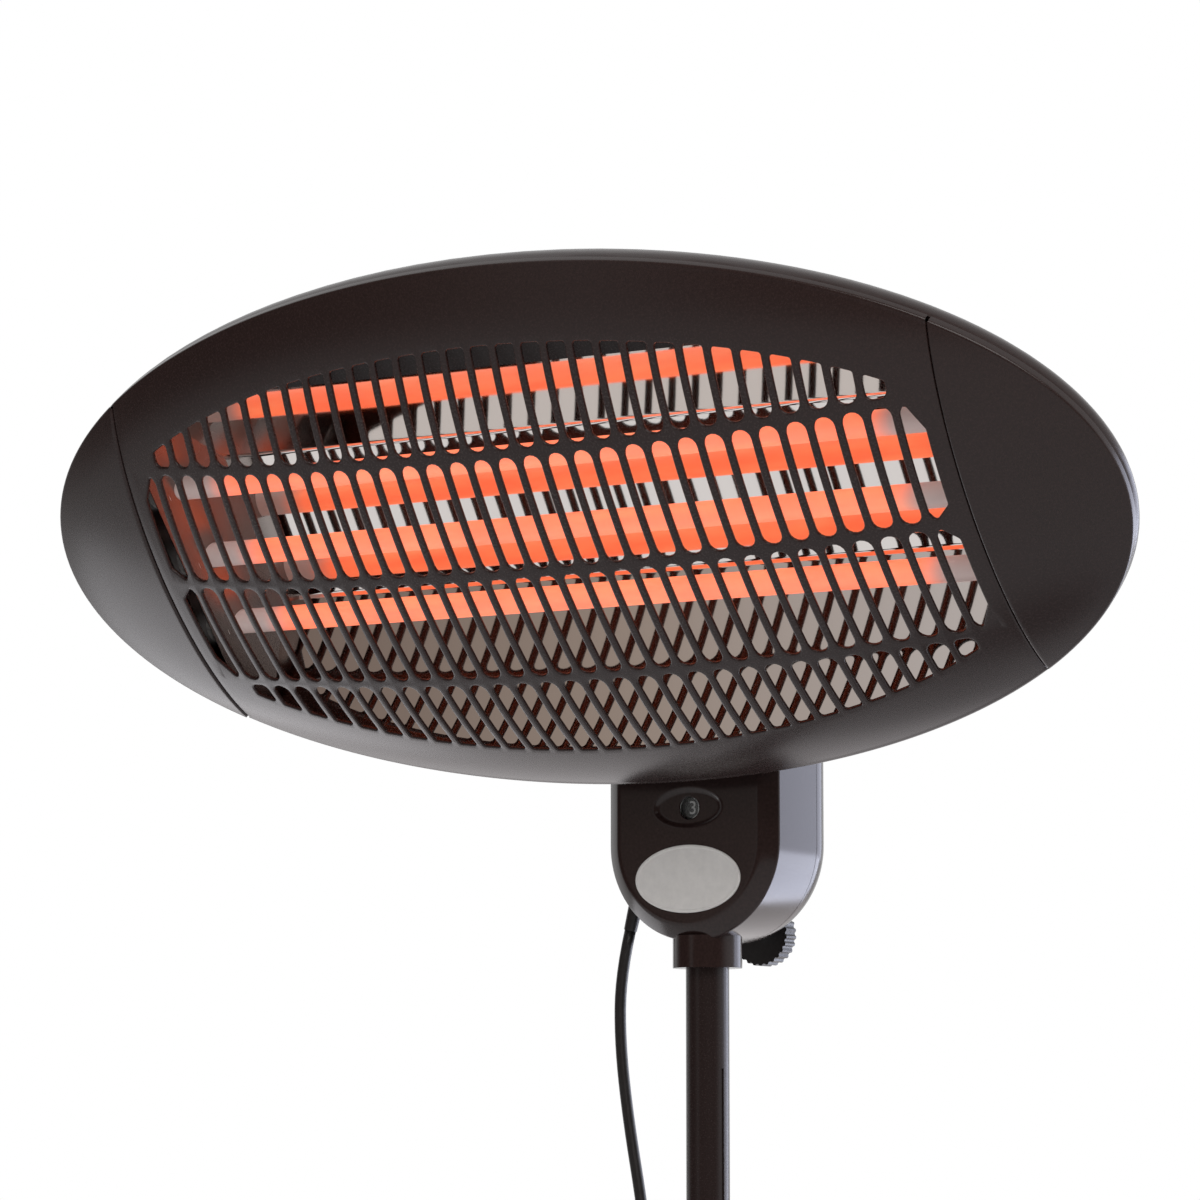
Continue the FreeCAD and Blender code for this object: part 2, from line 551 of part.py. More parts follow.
def dial():
    """Window, number wheel and the rotary switch behind it, and the bare badge plate below."""
    panel = "(-dims.box_front - dims.panel_rise)"
    height = "dims.rim_height - dims.dial_drop"
    lens = cylinder("lens_plug", ("0", panel + " + dims.dial_recess", height),
                    "dims.window_radius - dims.seat_play", "dims.box_wall - dims.dial_recess", "Y")
    flange = cylinder("lens_flange", ("0", panel + " + dims.box_wall", height),
                      "dims.window_radius + dims.window_flange", "dims.window_sheet", "Y")
    sub_part(fuse("dial_window_fuse", lens, flange), "dial_window")

    axis = "dims.rim_height - dims.wheel_drop"
    disc = cylinder("wheel_disc", ("0", "-dims.wheel_back", axis), "dims.wheel_radius", "dims.wheel_sheet",
                    "Y")
    bore = cylinder("wheel_bore", ("0", "-dims.wheel_back - 1", axis),
                    "dims.shaft_radius + dims.running_play", "dims.wheel_sheet + 2", "Y")
    sub_part(cut("number_wheel_cut", disc, bore), "number_wheel")

    back = "(dims.wheel_back - dims.wheel_sheet - 0.3)"
    switch = box("switch_body", ("-dims.switch_half", "-" + back, axis + " - dims.switch_half"),
                 "2 * dims.switch_half", back + " + dims.web_front", "2 * dims.switch_half")
    shaft = cylinder("switch_shaft", ("0", "-dims.wheel_back", axis), "dims.shaft_radius",
                     "dims.wheel_back", "Y")
    sub_part(fuse("rotary_switch_fuse", switch, shaft), "rotary_switch")

    plate = oval_prism("badge_prism", ("0", panel + " - dims.badge_sheet",
                                       "dims.rim_height - dims.badge_drop"),
                       "dims.badge_half_width", "dims.badge_half_height", "dims.badge_sheet", "Y")
    sub_part(plate, "badge_plate")


def knurled_knob(label, y, z):
    """A round knob on the Y axis with a knurled edge, and its screw that reaches the pole."""
    teeth = int(size("knob_teeth"))
    points = []
    for step in range(4 * teeth):
        angle = 2 * math.pi * step / (4 * teeth)
        radius = size("knob_radius") - (size("knob_tooth") if step % 4 < 2 else 0)
        points.append(Vector(radius * math.cos(angle), y, z + radius * math.sin(angle)))
    blank = face_of(points).extrude(Vector(0, size("knob_length"), 0))
    sub_part(feature(label + "_knob_shape", blank), label + "_knob")
    tip = size("upper_radius") + size("seat_play")
    screw = Part.makeCylinder(size("screw_radius"), y - tip, Vector(0, tip, z), Vector(0, 1, 0))
    sub_part(feature(label + "_screw_shape", screw), label + "_screw")


# The lead leaves the box through its lower left corner, on a slant close to the wall
GLAND_TIP = Vector(-42.9, 2, size("rim_height") - 169.8)
GLAND_WAY = Vector(-0.25, 0, -0.968).normalize()
LEAD_STRAIGHT = 21.4


def gland_cone(grow, shorten):
    start = GLAND_TIP - GLAND_WAY * (size("gland_length") - shorten)
    return Part.makeCone(size("gland_root") + grow, size("gland_tip") + grow, size("gland_length") - shorten,
                         start, GLAND_WAY)


def cord_gland():
    sub_part(feature("cord_gland_shape", gland_cone(0, 0)), "cord_gland")


# Telescopic pole
def upper_pole():
    """Round tube with a key groove down one side, and the guide plug in its lower end."""
    top = "dims.rim_height - dims.socket_top_drop - dims.socket_roof - 0.3"
    tube = cylinder("upper_tube", ("0", "0", "dims.upper_bottom"), "dims.upper_radius",
                    top + " - dims.upper_bottom")
    bore = cylinder("upper_bore", ("0", "0", "dims.upper_bottom - 1"), "dims.upper_radius - dims.upper_wall",
                    "dims.rim_height")
    groove = doc.addObject("Part::Box", "key_groove")
    groove.Placement = Placement(Vector(), Rotation(Vector(0, 0, 1), -10))
    turn = "dims.key_angle * 1deg"
    bind(groove, Length="2 * dims.key_depth", Width="dims.key_width",
         Height="dims.rim_height - dims.collar_bottom_drop - dims.key_start - dims.upper_bottom"
                " - 2 * dims.spigot_length",
         Placement__Rotation__Angle="-dims.key_angle",
         Placement__Base__x="(dims.upper_radius - dims.key_depth) * cos(%s)"
                            " - dims.key_width / 2 * sin(%s)" % (turn, turn),
         Placement__Base__y="-(dims.upper_radius - dims.key_depth) * sin(%s)"
                            " - dims.key_width / 2 * cos(%s)" % (turn, turn),
         Placement__Base__z="dims.upper_bottom + 2 * dims.spigot_length")
    sub_part(cut("upper_pole_cut", tube, bore, groove), "upper_pole")

    disc = cylinder("guide_disc", ("0", "0", "dims.upper_bottom - dims.guide_length"),
                    "dims.lower_radius - dims.lower_wall - dims.fit_play", "dims.guide_length")
    spigot = cylinder("guide_spigot", ("0", "0", "dims.upper_bottom - dims.guide_length"),
                      "dims.upper_radius - dims.upper_wall - dims.fit_play",
                      "dims.guide_length + dims.spigot_length")
    sub_part(fuse("guide_plug_fuse", disc, spigot), "guide_plug")


def lower_pole():
    tube = cylinder("lower_tube", ("0", "0", "dims.base_height"), "dims.lower_radius",
                    "dims.lower_top - dims.base_height")
    bore = cylinder("lower_bore", ("0", "0", "dims.base_height - 1"), "dims.lower_radius - dims.lower_wall",
                    "dims.lower_top")
    sub_part(cut("lower_pole_cut", tube, bore), "lower_pole")

    flange = cylinder("bush_flange_ring", ("0", "0", "dims.lower_top"), "dims.lower_radius",
                      "dims.bush_flange")
    sleeve = cylinder("bush_sleeve", ("0", "0", "dims.lower_top - dims.bush_length"),
                      "dims.lower_radius - dims.lower_wall - dims.fit_play", "dims.bush_length")
    slide = cylinder("bush_bore", ("0", "0", "dims.lower_top - 2 * dims.bush_length"),
                     "dims.upper_radius + dims.fit_play", "4 * dims.bush_length")
    sub_part(cut("pole_bush_cut", fuse("bush_blank", flange, sleeve), slide), "pole_bush")


def clamp_collar():
    """Collar round the top of the lower pole, with a boss behind for the clamp screw."""
    bottom = "dims.lower_top - dims.clamp_below"
    shoulder = "dims.lower_top + dims.bush_flange"
    ring = cylinder("clamp_ring", ("0", "0", bottom), "dims.clamp_radius",
                    "dims.clamp_below + dims.clamp_above")
    boss = cylinder("clamp_boss", ("0", "0", CLAMP_Z), "dims.boss_radius", "dims.boss_reach", "Y")
    seat = cylinder("clamp_seat", ("0", "0", bottom + " - 1"), "dims.lower_radius + dims.fit_play",
                    "dims.clamp_below + dims.bush_flange + 1")
    through = cylinder("clamp_through", ("0", "0", shoulder + " - 1"), "dims.upper_radius + 0.6",
                       "2 * dims.clamp_above")
    hole = cylinder("clamp_screw_hole", ("0", "0", CLAMP_Z), "dims.screw_radius + dims.running_play",
                    "2 * dims.boss_reach", "Y")
    sub_part(cut("clamp_collar_cut", fuse("clamp_blank", ring, boss), seat, through, hole), "clamp_collar")


CLAMP_Z = "dims.lower_top + (dims.bush_flange + dims.clamp_above) / 2"


# Base
def base():
    """Weighted round base: a pressed cover with a rolled edge, the weight inside it, and rubber feet."""
    edge, wall, skirt = size("base_edge"), size("base_wall"), size("skirt_height")
    radius, top = size("base_radius"), size("base_height")

    def pressing(offset):
        """Solid of revolution under the cover's outer face, or under its inner face when offset inwards."""
        rim, lid, bend = radius - offset, top - offset, edge - offset
        corner = Vector(rim - bend * (1 - math.sqrt(0.5)), 0, lid - bend * (1 - math.sqrt(0.5)))
        floor = skirt - offset
        edges = [
            Part.LineSegment(Vector(0, 0, floor), Vector(rim, 0, floor)).toShape(),
            Part.LineSegment(Vector(rim, 0, floor), Vector(rim, 0, lid - bend)).toShape(),
            Part.Arc(Vector(rim, 0, lid - bend), corner, Vector(rim - bend, 0, lid)).toShape(),
            Part.LineSegment(Vector(rim - bend, 0, lid), Vector(0, 0, lid)).toShape(),
            Part.LineSegment(Vector(0, 0, lid), Vector(0, 0, floor)).toShape(),
        ]
        return Part.Face(Part.Wire(edges)).revolve(Vector(), Vector(0, 0, 1), 360)

    sub_part(feature("base_cover_shape", pressing(0).cut(pressing(wall))), "base_cover")
    sub_part(cylinder("weight", ("0", "0", "dims.foot_height"), "dims.base_radius - dims.base_edge - 1",
                      "dims.base_height - dims.base_wall - dims.foot_height"), "base_weight")
    feet = []
    for place in range(int(size("foot_count"))):
        turn = "(%d + 0.5) * 360deg / dims.foot_count" % place
        feet.append(cylinder("foot", ("dims.foot_circle * cos(%s)" % turn,
                                      "dims.foot_circle * sin(%s)" % turn, "0"),
                             "dims.foot_radius", "dims.foot_height"))
    sub_part(group("feet", *feet), "base_feet")


def pole_flange():
    """Flange on the base with a stub that the lower pole stands in, and its screws."""
    outside = "(dims.lower_radius + dims.fit_play + dims.stub_wall)"
    disc = cylinder("flange_disc", ("0", "0", "dims.base_height"), "dims.flange_radius", "dims.flange_height")
    stub = cylinder("flange_stub", ("0", "0", "dims.base_height"), outside, "dims.stub_height")
    bore = cylinder("flange_bore", ("0", "0", "dims.base_height - 1"), "dims.lower_radius + dims.fit_play",
                    "dims.stub_height + 2")
    sub_part(cut("pole_flange_cut", fuse("flange_blank", disc, stub), bore), "pole_flange")
    heads = []
    for place in range(int(size("flange_screws"))):
        turn = "%d * 360deg / dims.flange_screws" % place
        heads.append(cylinder("flange_screw", ("dims.flange_screw_circle * cos(%s)" % turn,
                                               "dims.flange_screw_circle * sin(%s)" % turn,
                                               "dims.base_height + dims.flange_height"),
                              "dims.flange_screw_radius", "dims.flange_screw_height"))
    sub_part(group("flange_screw_group", *heads), "flange_screws")


# Mains lead: hanging stretch, put-away coil with its tie, and the plug
LAYER_LOW = size("base_height") + size("tie_sheet") + size("tie_play") + size("cord_radius")
LAYER_HIGH = LAYER_LOW + size("coil_step")
LEAD_IN = 2 * size("cord_radius")
COIL_X = -size("coil_outside")
COIL_Y = size("coil_centre")
RIM = size("rim_height")
HANGING_ROUTE = [
    GLAND_TIP, GLAND_TIP + GLAND_WAY * LEAD_STRAIGHT,
    Vector(-48.6, 2, RIM - 222), Vector(-44.2, 2.3, RIM - 258),
    Vector(-36.5, 2.8, RIM - 300), Vector(-30.5, 3.4, RIM - 352), Vector(-27.2, 4, RIM - 418),
    Vector(-26, 4.6, RIM - 496), Vector(-26.6, 5.2, RIM - 580), Vector(-28.6, 6, RIM - 664),
    Vector(-31.8, 7, RIM - 748), Vector(-35.8, 8, RIM - 832), Vector(-40, 9.2, RIM - 916),
    Vector(-44, 10.6, RIM - 1000), Vector(-47.6, 12, RIM - 1084), Vector(-50.6, 13.6, RIM - 1168),
    Vector(-52.8, 15.4, RIM - 1252), Vector(-54.2, 17.4, RIM - 1336), Vector(-54.8, 19.8, RIM - 1420),
    Vector(-54.6, 22.6, RIM - 1504), Vector(-53.8, 26, RIM - 1580), Vector(-52.6, 31, RIM - 1645),
    Vector(-50.6, 40, RIM - 1698), Vector(-47.5, 54, RIM - 1736), Vector(COIL_X - 2, COIL_Y - 40, 43.5),
    Vector(COIL_X, COIL_Y - LEAD_IN - 17.5, LAYER_LOW), Vector(COIL_X, COIL_Y - LEAD_IN, LAYER_LOW),
]


def tangent_path(points):
    """Straight runs joined by tangent arcs, each as large as its two runs allow."""
    edges, radii = [], []
    at = points[0]
    for before, corner, after in zip(points, points[1:], points[2:]):
        back, ahead = before - corner, after - corner
        reach = 0.45 * min(back.Length, ahead.Length)
        back.normalize()
        ahead.normalize()
        half = back.getAngle(ahead) / 2
        radius = reach * math.tan(half)
        middle = (back + ahead).normalize()
        start, end = corner + back * reach, corner + ahead * reach
        apex = corner + middle * (radius / math.sin(half) - radius)
        edges.append(Part.LineSegment(at, start).toShape())
        edges.append(Part.Arc(start, apex, end).toShape())
        radii.append(radius)
        at = end
    edges.append(Part.LineSegment(at, points[-1]).toShape())
    return Part.Wire(edges), radii


def tube_along(wire, radius):
    """A round tube along a wire that starts at its first vertex."""
    start = wire.Edges[0].firstVertex().Point
    way = wire.Edges[0].tangentAt(wire.Edges[0].FirstParameter)
    section = Part.Wire([Part.Circle(start, way, radius).toShape()])
    return wire.makePipeShell([section], True, True)


def biarc(start, way, end, end_way):
    """Two arcs that meet smoothly between two points with given directions."""
    span = end - start
    both = way + end_way
    square = 2 * (1 - way.dot(end_way))
    along = span.dot(both)
    reach = (math.sqrt(along ** 2 + square * span.dot(span)) - along) / square
    meet = (start + way * reach + end - end_way * reach) * 0.5
    arcs = []
    for first, first_way, last in ((start, way, meet), (meet, None, end)):
        if first_way is None:
            tip = end - end_way * reach
        else:
            tip = start + way * reach
        middle = (first - tip).normalize() + (last - tip).normalize()
        half = (first - tip).getAngle(last - tip) / 2
        radius = reach * math.tan(half)
        apex = tip + middle.normalize() * (radius / math.sin(half) - radius)
        arcs.append(Part.Arc(first, apex, last).toShape())
    return arcs


def coil_point(turn):
    """Place on the coil: it spirals in on the base, climbs a layer, and spirals out on top."""
    turns, step = size("coil_turns"), size("coil_step")
    middle = turn - turns / 2
    if abs(middle) > 0.25:
        inwards = turns / 2 - abs(middle)
        rise = 0.0 if middle < 0 else 1.0
    else:
        inwards = turns / 2 - 2 * middle ** 2 - 0.125
        share = 2 * middle + 0.5
        rise = share * share * (3 - 2 * share)
    radius = size("coil_outside") - step * inwards
    angle = math.pi - 2 * math.pi * turn
    return Vector(radius * math.cos(angle), COIL_Y + radius * math.sin(angle), LAYER_LOW + rise * step)


def coil_path():
    """The coil's centre line: quarter turns as pairs of arcs, and a straight stretch at each end."""
    forwards = Vector(0, 1, 0)
    quarters = int(4 * size("coil_turns"))
    points = [coil_point(quarter / 4) for quarter in range(quarters + 1)]
    ways = [forwards]
    for quarter in range(1, quarters):
        ways.append((coil_point(quarter / 4 + 0.001) - coil_point(quarter / 4 - 0.001)).normalize())
    ways.append(forwards)
    edges = [Part.LineSegment(points[0] - forwards * LEAD_IN, points[0]).toShape()]
    for quarter in range(quarters):
        edges.extend(biarc(points[quarter], ways[quarter], points[quarter + 1], ways[quarter + 1]))
    edges.append(Part.LineSegment(points[-1], points[-1] + forwards * size("coil_tail")).toShape())
    return Part.Wire(edges)


def least_gap(wire, diameter):
    """Smallest gap between stretches of one lead, measured between points along it."""
    points = wire.discretize(Distance=4)
    apart = 4
    least = 1e9
    for index, point in enumerate(points):
        for other in points[index + apart:]:
            least = min(least, point.distanceToPoint(other))
    return least - diameter


def cord():
    """The lead in two tubes: from the gland down to the base, and the coil that lies on the base."""
    section = math.pi * size("cord_radius") ** 2
    wire, radii = tangent_path(HANGING_ROUTE)
    tube = tube_along(wire, size("cord_radius"))
    print("hanging lead: length %.0f, radii %s" % (wire.Length, " ".join("%.0f" % r for r in radii)))
    print("hanging lead: volume over section times length %.4f" % (tube.Volume / (section * wire.Length)))
    sub_part(feature("cord_drop_shape", tube), "cord_drop")
    turns = coil_path()
    coil = tube_along(turns, size("cord_radius"))
    print("coil: length %.0f, volume over section times length %.4f, least gap %.2f" % (
        turns.Length, coil.Volume / (section * turns.Length), least_gap(turns, 2 * size("cord_radius"))))
    sub_part(feature("cord_coil_shape", coil), "cord_coil")


def cord_tie():
    """A flat band round the coil, on the side away from the lead."""
    inner = "(dims.coil_outside - dims.coil_step * (dims.coil_turns / 2 - 0.5) - dims.cord_radius" \
            " - 2 * dims.tie_play)"
    outer = "(dims.coil_outside - dims.coil_step / 2 + dims.cord_radius + dims.tie_play)"
    height = "(dims.coil_step + 2 * dims.cord_radius + 2 * dims.tie_play)"
    front = "dims.coil_centre - dims.tie_width / 2"
    band = box("tie_band", (inner + " - dims.tie_sheet", front, "dims.base_height"),
               outer + " - " + inner + " + 2 * dims.tie_sheet", "dims.tie_width",
               height + " + 2 * dims.tie_sheet")
    room = box("tie_room", (inner, front + " - 1", "dims.base_height + dims.tie_sheet"),
               outer + " - " + inner, "dims.tie_width + 2", height)
    sub_part(cut("cord_tie_cut", band, room), "cord_tie")


def plug():
    """Plain mains plug at the end of the lead, lying on the base beside the coil."""
    axis_x = "-dims.coil_outside"
    axis_z = "(dims.base_height + dims.tie_sheet + dims.tie_play + dims.cord_radius + dims.coil_step)"
    half = "(%s - dims.base_height)" % axis_z
    start = "(dims.coil_centre + dims.coil_tail)"
    neck = doc.addObject("Part::Cone", "plug_neck")
    neck.Placement = Placement(Vector(), TURNS["Y"])
    bind(neck, Radius1="dims.cord_radius + 0.6", Radius2="dims.plug_neck_radius",
         Height="dims.plug_neck_length", Placement__Base__x=axis_x, Placement__Base__y=start,
         Placement__Base__z=axis_z)
    grip = doc.addObject("Part::Wedge", "plug_grip")
    bind(grip, Xmin="-0.6 * dims.plug_half_width", Xmax="0.6 * dims.plug_half_width",
         X2min="-dims.plug_half_width", X2max="dims.plug_half_width", Zmin="-0.6 * " + half,
         Zmax="0.6 * " + half, Z2min="-" + half, Z2max=half, Ymin="0", Ymax="dims.plug_length",
         Placement__Base__x=axis_x, Placement__Base__y=start + " + dims.plug_neck_length",
         Placement__Base__z=axis_z)
    sub_part(fuse("plug_body_fuse", neck, grip), "plug_body")
    pins = []
    for side in ("dims.pin_pitch / 2", "-dims.pin_pitch / 2"):
        pins.append(cylinder("pin", (axis_x + " + " + side,
                                     start + " + dims.plug_neck_length + dims.plug_length", axis_z),
                             "dims.pin_radius", "dims.pin_length", "Y"))
    sub_part(group("pins", *pins), "plug_pins")


front_grille()
end_caps()
rear_shell()
reflector()
quartz_tubes()
ceramic_ends()
tilt_bracket()
hinge_bolt()
head_mount()
box_front()
box_rear()
cover_screws()
dial()
knurled_knob("lock", size("knob_back"), size("rim_height") - size("knob_drop"))
knurled_knob("clamp", size("boss_reach") + size("knob_gap"),
             size("lower_top") + (size("bush_flange") + size("clamp_above")) / 2)
cord_gland()
upper_pole()
lower_pole()
clamp_collar()
base()
pole_flange()
cord()
cord_tie()
plug()

doc.recompute()
for obj in doc.Objects:
    if "Invalid" in obj.State or "Error" in obj.State:
        raise RuntimeError("%s failed: %s" % (obj.Name, obj.State))
os.makedirs("parts", exist_ok=True)
for obj in sub_parts:
    if obj.Shape.isNull() or not obj.Shape.isValid() or not obj.Shape.Solids:
        raise RuntimeError("%s has no valid shape" % obj.Label)
    obj.Shape.exportStep("parts/%s.step" % obj.Label)
    print("%-22s %d solids %12.1f mm3" % (obj.Label, len(obj.Shape.Solids), obj.Shape.Volume))
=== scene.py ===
"""Looks for the free-standing patio heater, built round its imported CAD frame.

Blender's objects are in metres, in the frame of the CAD. Named sizes are in millimetres unless a comment says
otherwise.
"""
import json
import math

import bpy
from mathutils import Matrix, Vector


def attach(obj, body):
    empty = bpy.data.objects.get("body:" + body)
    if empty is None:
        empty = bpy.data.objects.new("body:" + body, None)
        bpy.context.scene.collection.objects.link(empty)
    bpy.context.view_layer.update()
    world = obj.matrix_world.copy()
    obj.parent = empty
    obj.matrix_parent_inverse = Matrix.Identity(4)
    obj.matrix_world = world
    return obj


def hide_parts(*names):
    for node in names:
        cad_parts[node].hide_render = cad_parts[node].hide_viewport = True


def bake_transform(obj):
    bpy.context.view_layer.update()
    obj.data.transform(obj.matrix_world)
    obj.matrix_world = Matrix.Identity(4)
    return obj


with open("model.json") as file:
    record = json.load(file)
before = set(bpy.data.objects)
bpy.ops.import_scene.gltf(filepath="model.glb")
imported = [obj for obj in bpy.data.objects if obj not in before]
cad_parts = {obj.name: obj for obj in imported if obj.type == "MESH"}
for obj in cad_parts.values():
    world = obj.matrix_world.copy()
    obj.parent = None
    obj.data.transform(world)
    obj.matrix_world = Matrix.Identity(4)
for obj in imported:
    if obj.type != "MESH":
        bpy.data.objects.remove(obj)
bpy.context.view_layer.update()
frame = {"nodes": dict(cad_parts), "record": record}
scene = bpy.context.scene
scene.view_settings.view_transform = "Standard"
nodes = frame["nodes"]

MM = 0.001

# Sizes shared with the CAD; HEAD_TILT is in degrees
RIM = 1800.0
HEAD_FORWARD = 123.8
HEAD_TILT = 38.74
HALF_WIDTH = 275.0
HALF_HEIGHT = 135.2
DOME_RISE = 33.6
DOME_FLAT = 0.445
SHEET = 1.6
LIP = 3.0
SEAM = 211.0
CAP_PROUD = 0.8
SLOT_PITCH = 12.75
SLOT_HALF = 4.65
COLUMNS = 32
ROW_BAR = 3.8
ROW_LENGTH = 54.0
ARC_HALF_WIDTH = 245.0
ARC_HALF_HEIGHT = 105.0
END_CUT_ACROSS = 7.0
END_CUT_HIGH = 12.5
END_CUT_LOW = 6.5
TRAY_BACK_HALF = 39.0
TRAY_SLOPE = 39.5 / 66
TRAY_TOP = 86.0
TRAY_SHEET = 0.8
TUBE_PITCH = 37.0
TUBE_DEPTH = 6.0
TUBE_HOLE = 6.1
BRACKET_SHEET = 1.5
BRACKET_HALF = 48.0
BRACKET_BACK = 19.5
BRACKET_FRONT = 6.0
BOX_HALF = 45.2
BOX_TOP_DROP = 66.0
BOX_ARC_DROP = 131.2
BOX_TOP_ROUND = 12.0
BOX_FRONT = 12.3
BOX_SPLIT = 22.8
PANEL_RISE = 5.0
PANEL_INSET = 7.2
DIAL_DROP = 115.4
DIAL_HALF = (17.5, 8.5)
DIAL_RECESS = 1.2
WINDOW_RADIUS = 5.2
WHEEL_DROP = 125.4
WHEEL_FRONT = 12.3
BADGE_DROP = 148.0
BADGE_HALF = (27.9, 15.6)
BADGE_SHEET = 0.8
BASE_HEIGHT = 30
TIE_SHEET = 1
TIE_PLAY = 0.4
CORD_RADIUS = 2.75
COIL_OUTSIDE = 42.5
COIL_STEP = 6.3
COIL_TURNS = 6
COIL_CENTRE = 114.0
COIL_TAIL = 40.0

STRETCH = math.sqrt(1 - DOME_FLAT ** 2)
DOME_X = HALF_WIDTH / STRETCH
DOME_Y = HALF_HEIGHT / STRETCH
DOME_Z = DOME_RISE / (1 - DOME_FLAT)
HEAD = Matrix.Translation((0, -HEAD_FORWARD * MM, RIM * MM)) @ Matrix.Rotation(
    math.radians(90 + HEAD_TILT), 4, "X")


# Camera at the photograph's viewpoint: place and reach in metres, pitch and turn in degrees
CAMERA_PLACE = (1.1077, -1.86316, 1.52734)
CAMERA_PITCH = 96.71
CAMERA_TURN = 32.04
CAMERA_SENSOR = 36
CAMERA_LENS = 141
CAMERA_REACH = 50


def make_camera():
    data = bpy.data.cameras.new("camera")
    data.sensor_width = CAMERA_SENSOR
    data.lens = CAMERA_LENS
    data.clip_end = CAMERA_REACH
    camera = bpy.data.objects.new("camera", data)
    camera.location = CAMERA_PLACE
    camera.rotation_euler = (math.radians(CAMERA_PITCH), 0, math.radians(CAMERA_TURN))
    scene.collection.objects.link(camera)
    scene.camera = camera


# Materials
def new_material(name):
    material = bpy.data.materials.new(name)
    material.use_nodes = True
    tree = material.node_tree
    return material, tree, tree.nodes["Principled BSDF"]


def set_values(node, **values):
    for key, value in values.items():
        node.inputs[key.replace("_", " ")].default_value = value


def color_mix(tree, first, second, share):
    """The output of a node that mixes two colours; each is a colour or another node's output."""
    node = tree.nodes.new("ShaderNodeMix")
    node.data_type = "RGBA"
    tree.links.new(share, node.inputs["Factor"])
    for socket, color in ((node.inputs[6], first), (node.inputs[7], second)):
        if isinstance(color, tuple):
            socket.default_value = color + (1,)
        else:
            tree.links.new(color, socket)
    return node.outputs[2]


def color_ramp(tree, value, stops):
    """The output of a colour ramp over a value; each stop is a place and a colour."""
    node = tree.nodes.new("ShaderNodeValToRGB")
    elements = node.color_ramp.elements
    for index in (0, -1):
        place, color = stops[index]
        elements[index].position = place
        elements[index].color = tuple(color) + (1,)
    for place, color in stops[1:-1]:
        elements.new(place).color = tuple(color) + (1,)
    tree.links.new(value, node.inputs["Fac"])
    return node.outputs["Color"]


def fine_noise(tree, **values):
    """The output of a noise texture that stays with its piece."""
    coords = tree.nodes.new("ShaderNodeTexCoord")
    noise = tree.nodes.new("ShaderNodeTexNoise")
    set_values(noise, **values)
    tree.links.new(coords.outputs["Object"], noise.inputs["Vector"])
    return noise.outputs["Fac"]


def drive_finish(tree, shader, noise, low, high, bump, depth):
    """Lets a noise drive a shader's roughness, from low to high, and its bump."""
    span = tree.nodes.new("ShaderNodeMapRange")
    set_values(span, To_Min=low, To_Max=high)
    tree.links.new(noise, span.inputs["Value"])
    tree.links.new(span.outputs["Result"], shader.inputs["Roughness"])
    node = tree.nodes.new("ShaderNodeBump")
    set_values(node, Strength=bump, Distance=depth)
    tree.links.new(noise, node.inputs["Height"])
    tree.links.new(node.outputs["Normal"], shader.inputs["Normal"])


# Depth of the bumps in paint and in metal, in metres, and how far noise moves the colour and the roughness
PAINT_BUMP = 0.0002
METAL_BUMP = 0.0005
TINT_LOW = 0.3
TINT_HIGH = 0.7
LEAST_ROUGHNESS = 0.02
METAL_SPREAD = 0.3


def textured(name, color, roughness, scale, bump, spread=0.06, shade=0.25, gloss=0.5):
    """A paint, plastic or rubber: fine noise drives its colour, its roughness and its bump."""
    material, tree, shader = new_material(name)
    set_values(shader, Specular_IOR_Level=gloss)
    noise = fine_noise(tree, Scale=scale, Detail=5.0, Roughness=0.6)
    dark = [c * (1 - shade) for c in color]
    pale = [min(1, c * (1 + shade)) for c in color]
    tint = color_ramp(tree, noise, [(TINT_LOW, dark), (TINT_HIGH, pale)])
    tree.links.new(tint, shader.inputs["Base Color"])
    low, high = max(LEAST_ROUGHNESS, roughness - spread), min(1, roughness + spread)
    drive_finish(tree, shader, noise, low, high, bump, PAINT_BUMP)
    return material


def metal(name, color, roughness, scale, bump):
    """Bare or polished metal with faint waviness."""
    material, tree, shader = new_material(name)
    set_values(shader, Base_Color=color + (1,), Metallic=1.0)
    noise = fine_noise(tree, Scale=scale, Detail=2.0)
    low, high = roughness * (1 - METAL_SPREAD), roughness * (1 + METAL_SPREAD)
    drive_finish(tree, shader, noise, low, high, bump, METAL_BUMP)
    return material


# Glow of the quartz tubes: how far from the middle it lasts and where it ends, in metres, and its colours;
# the faint glow at the cold ends is painted light from the hot middle
GLOW_LASTS = 0.163
GLOW_ENDS = 0.181
GLOW_STRENGTH = 1.15
GLOW_STREAKS = (12, 60, 60)
GLOW_STOPS = [(0.35, (1.0, 0.125, 0.042)), (0.70, (1.0, 0.190, 0.070))]
END_PAINTED_GLOW = (0.16, 0.11, 0.10)
COLD_QUARTZ = (0.62, 0.54, 0.52)
HOT_QUARTZ = (0.46, 0.40, 0.32)


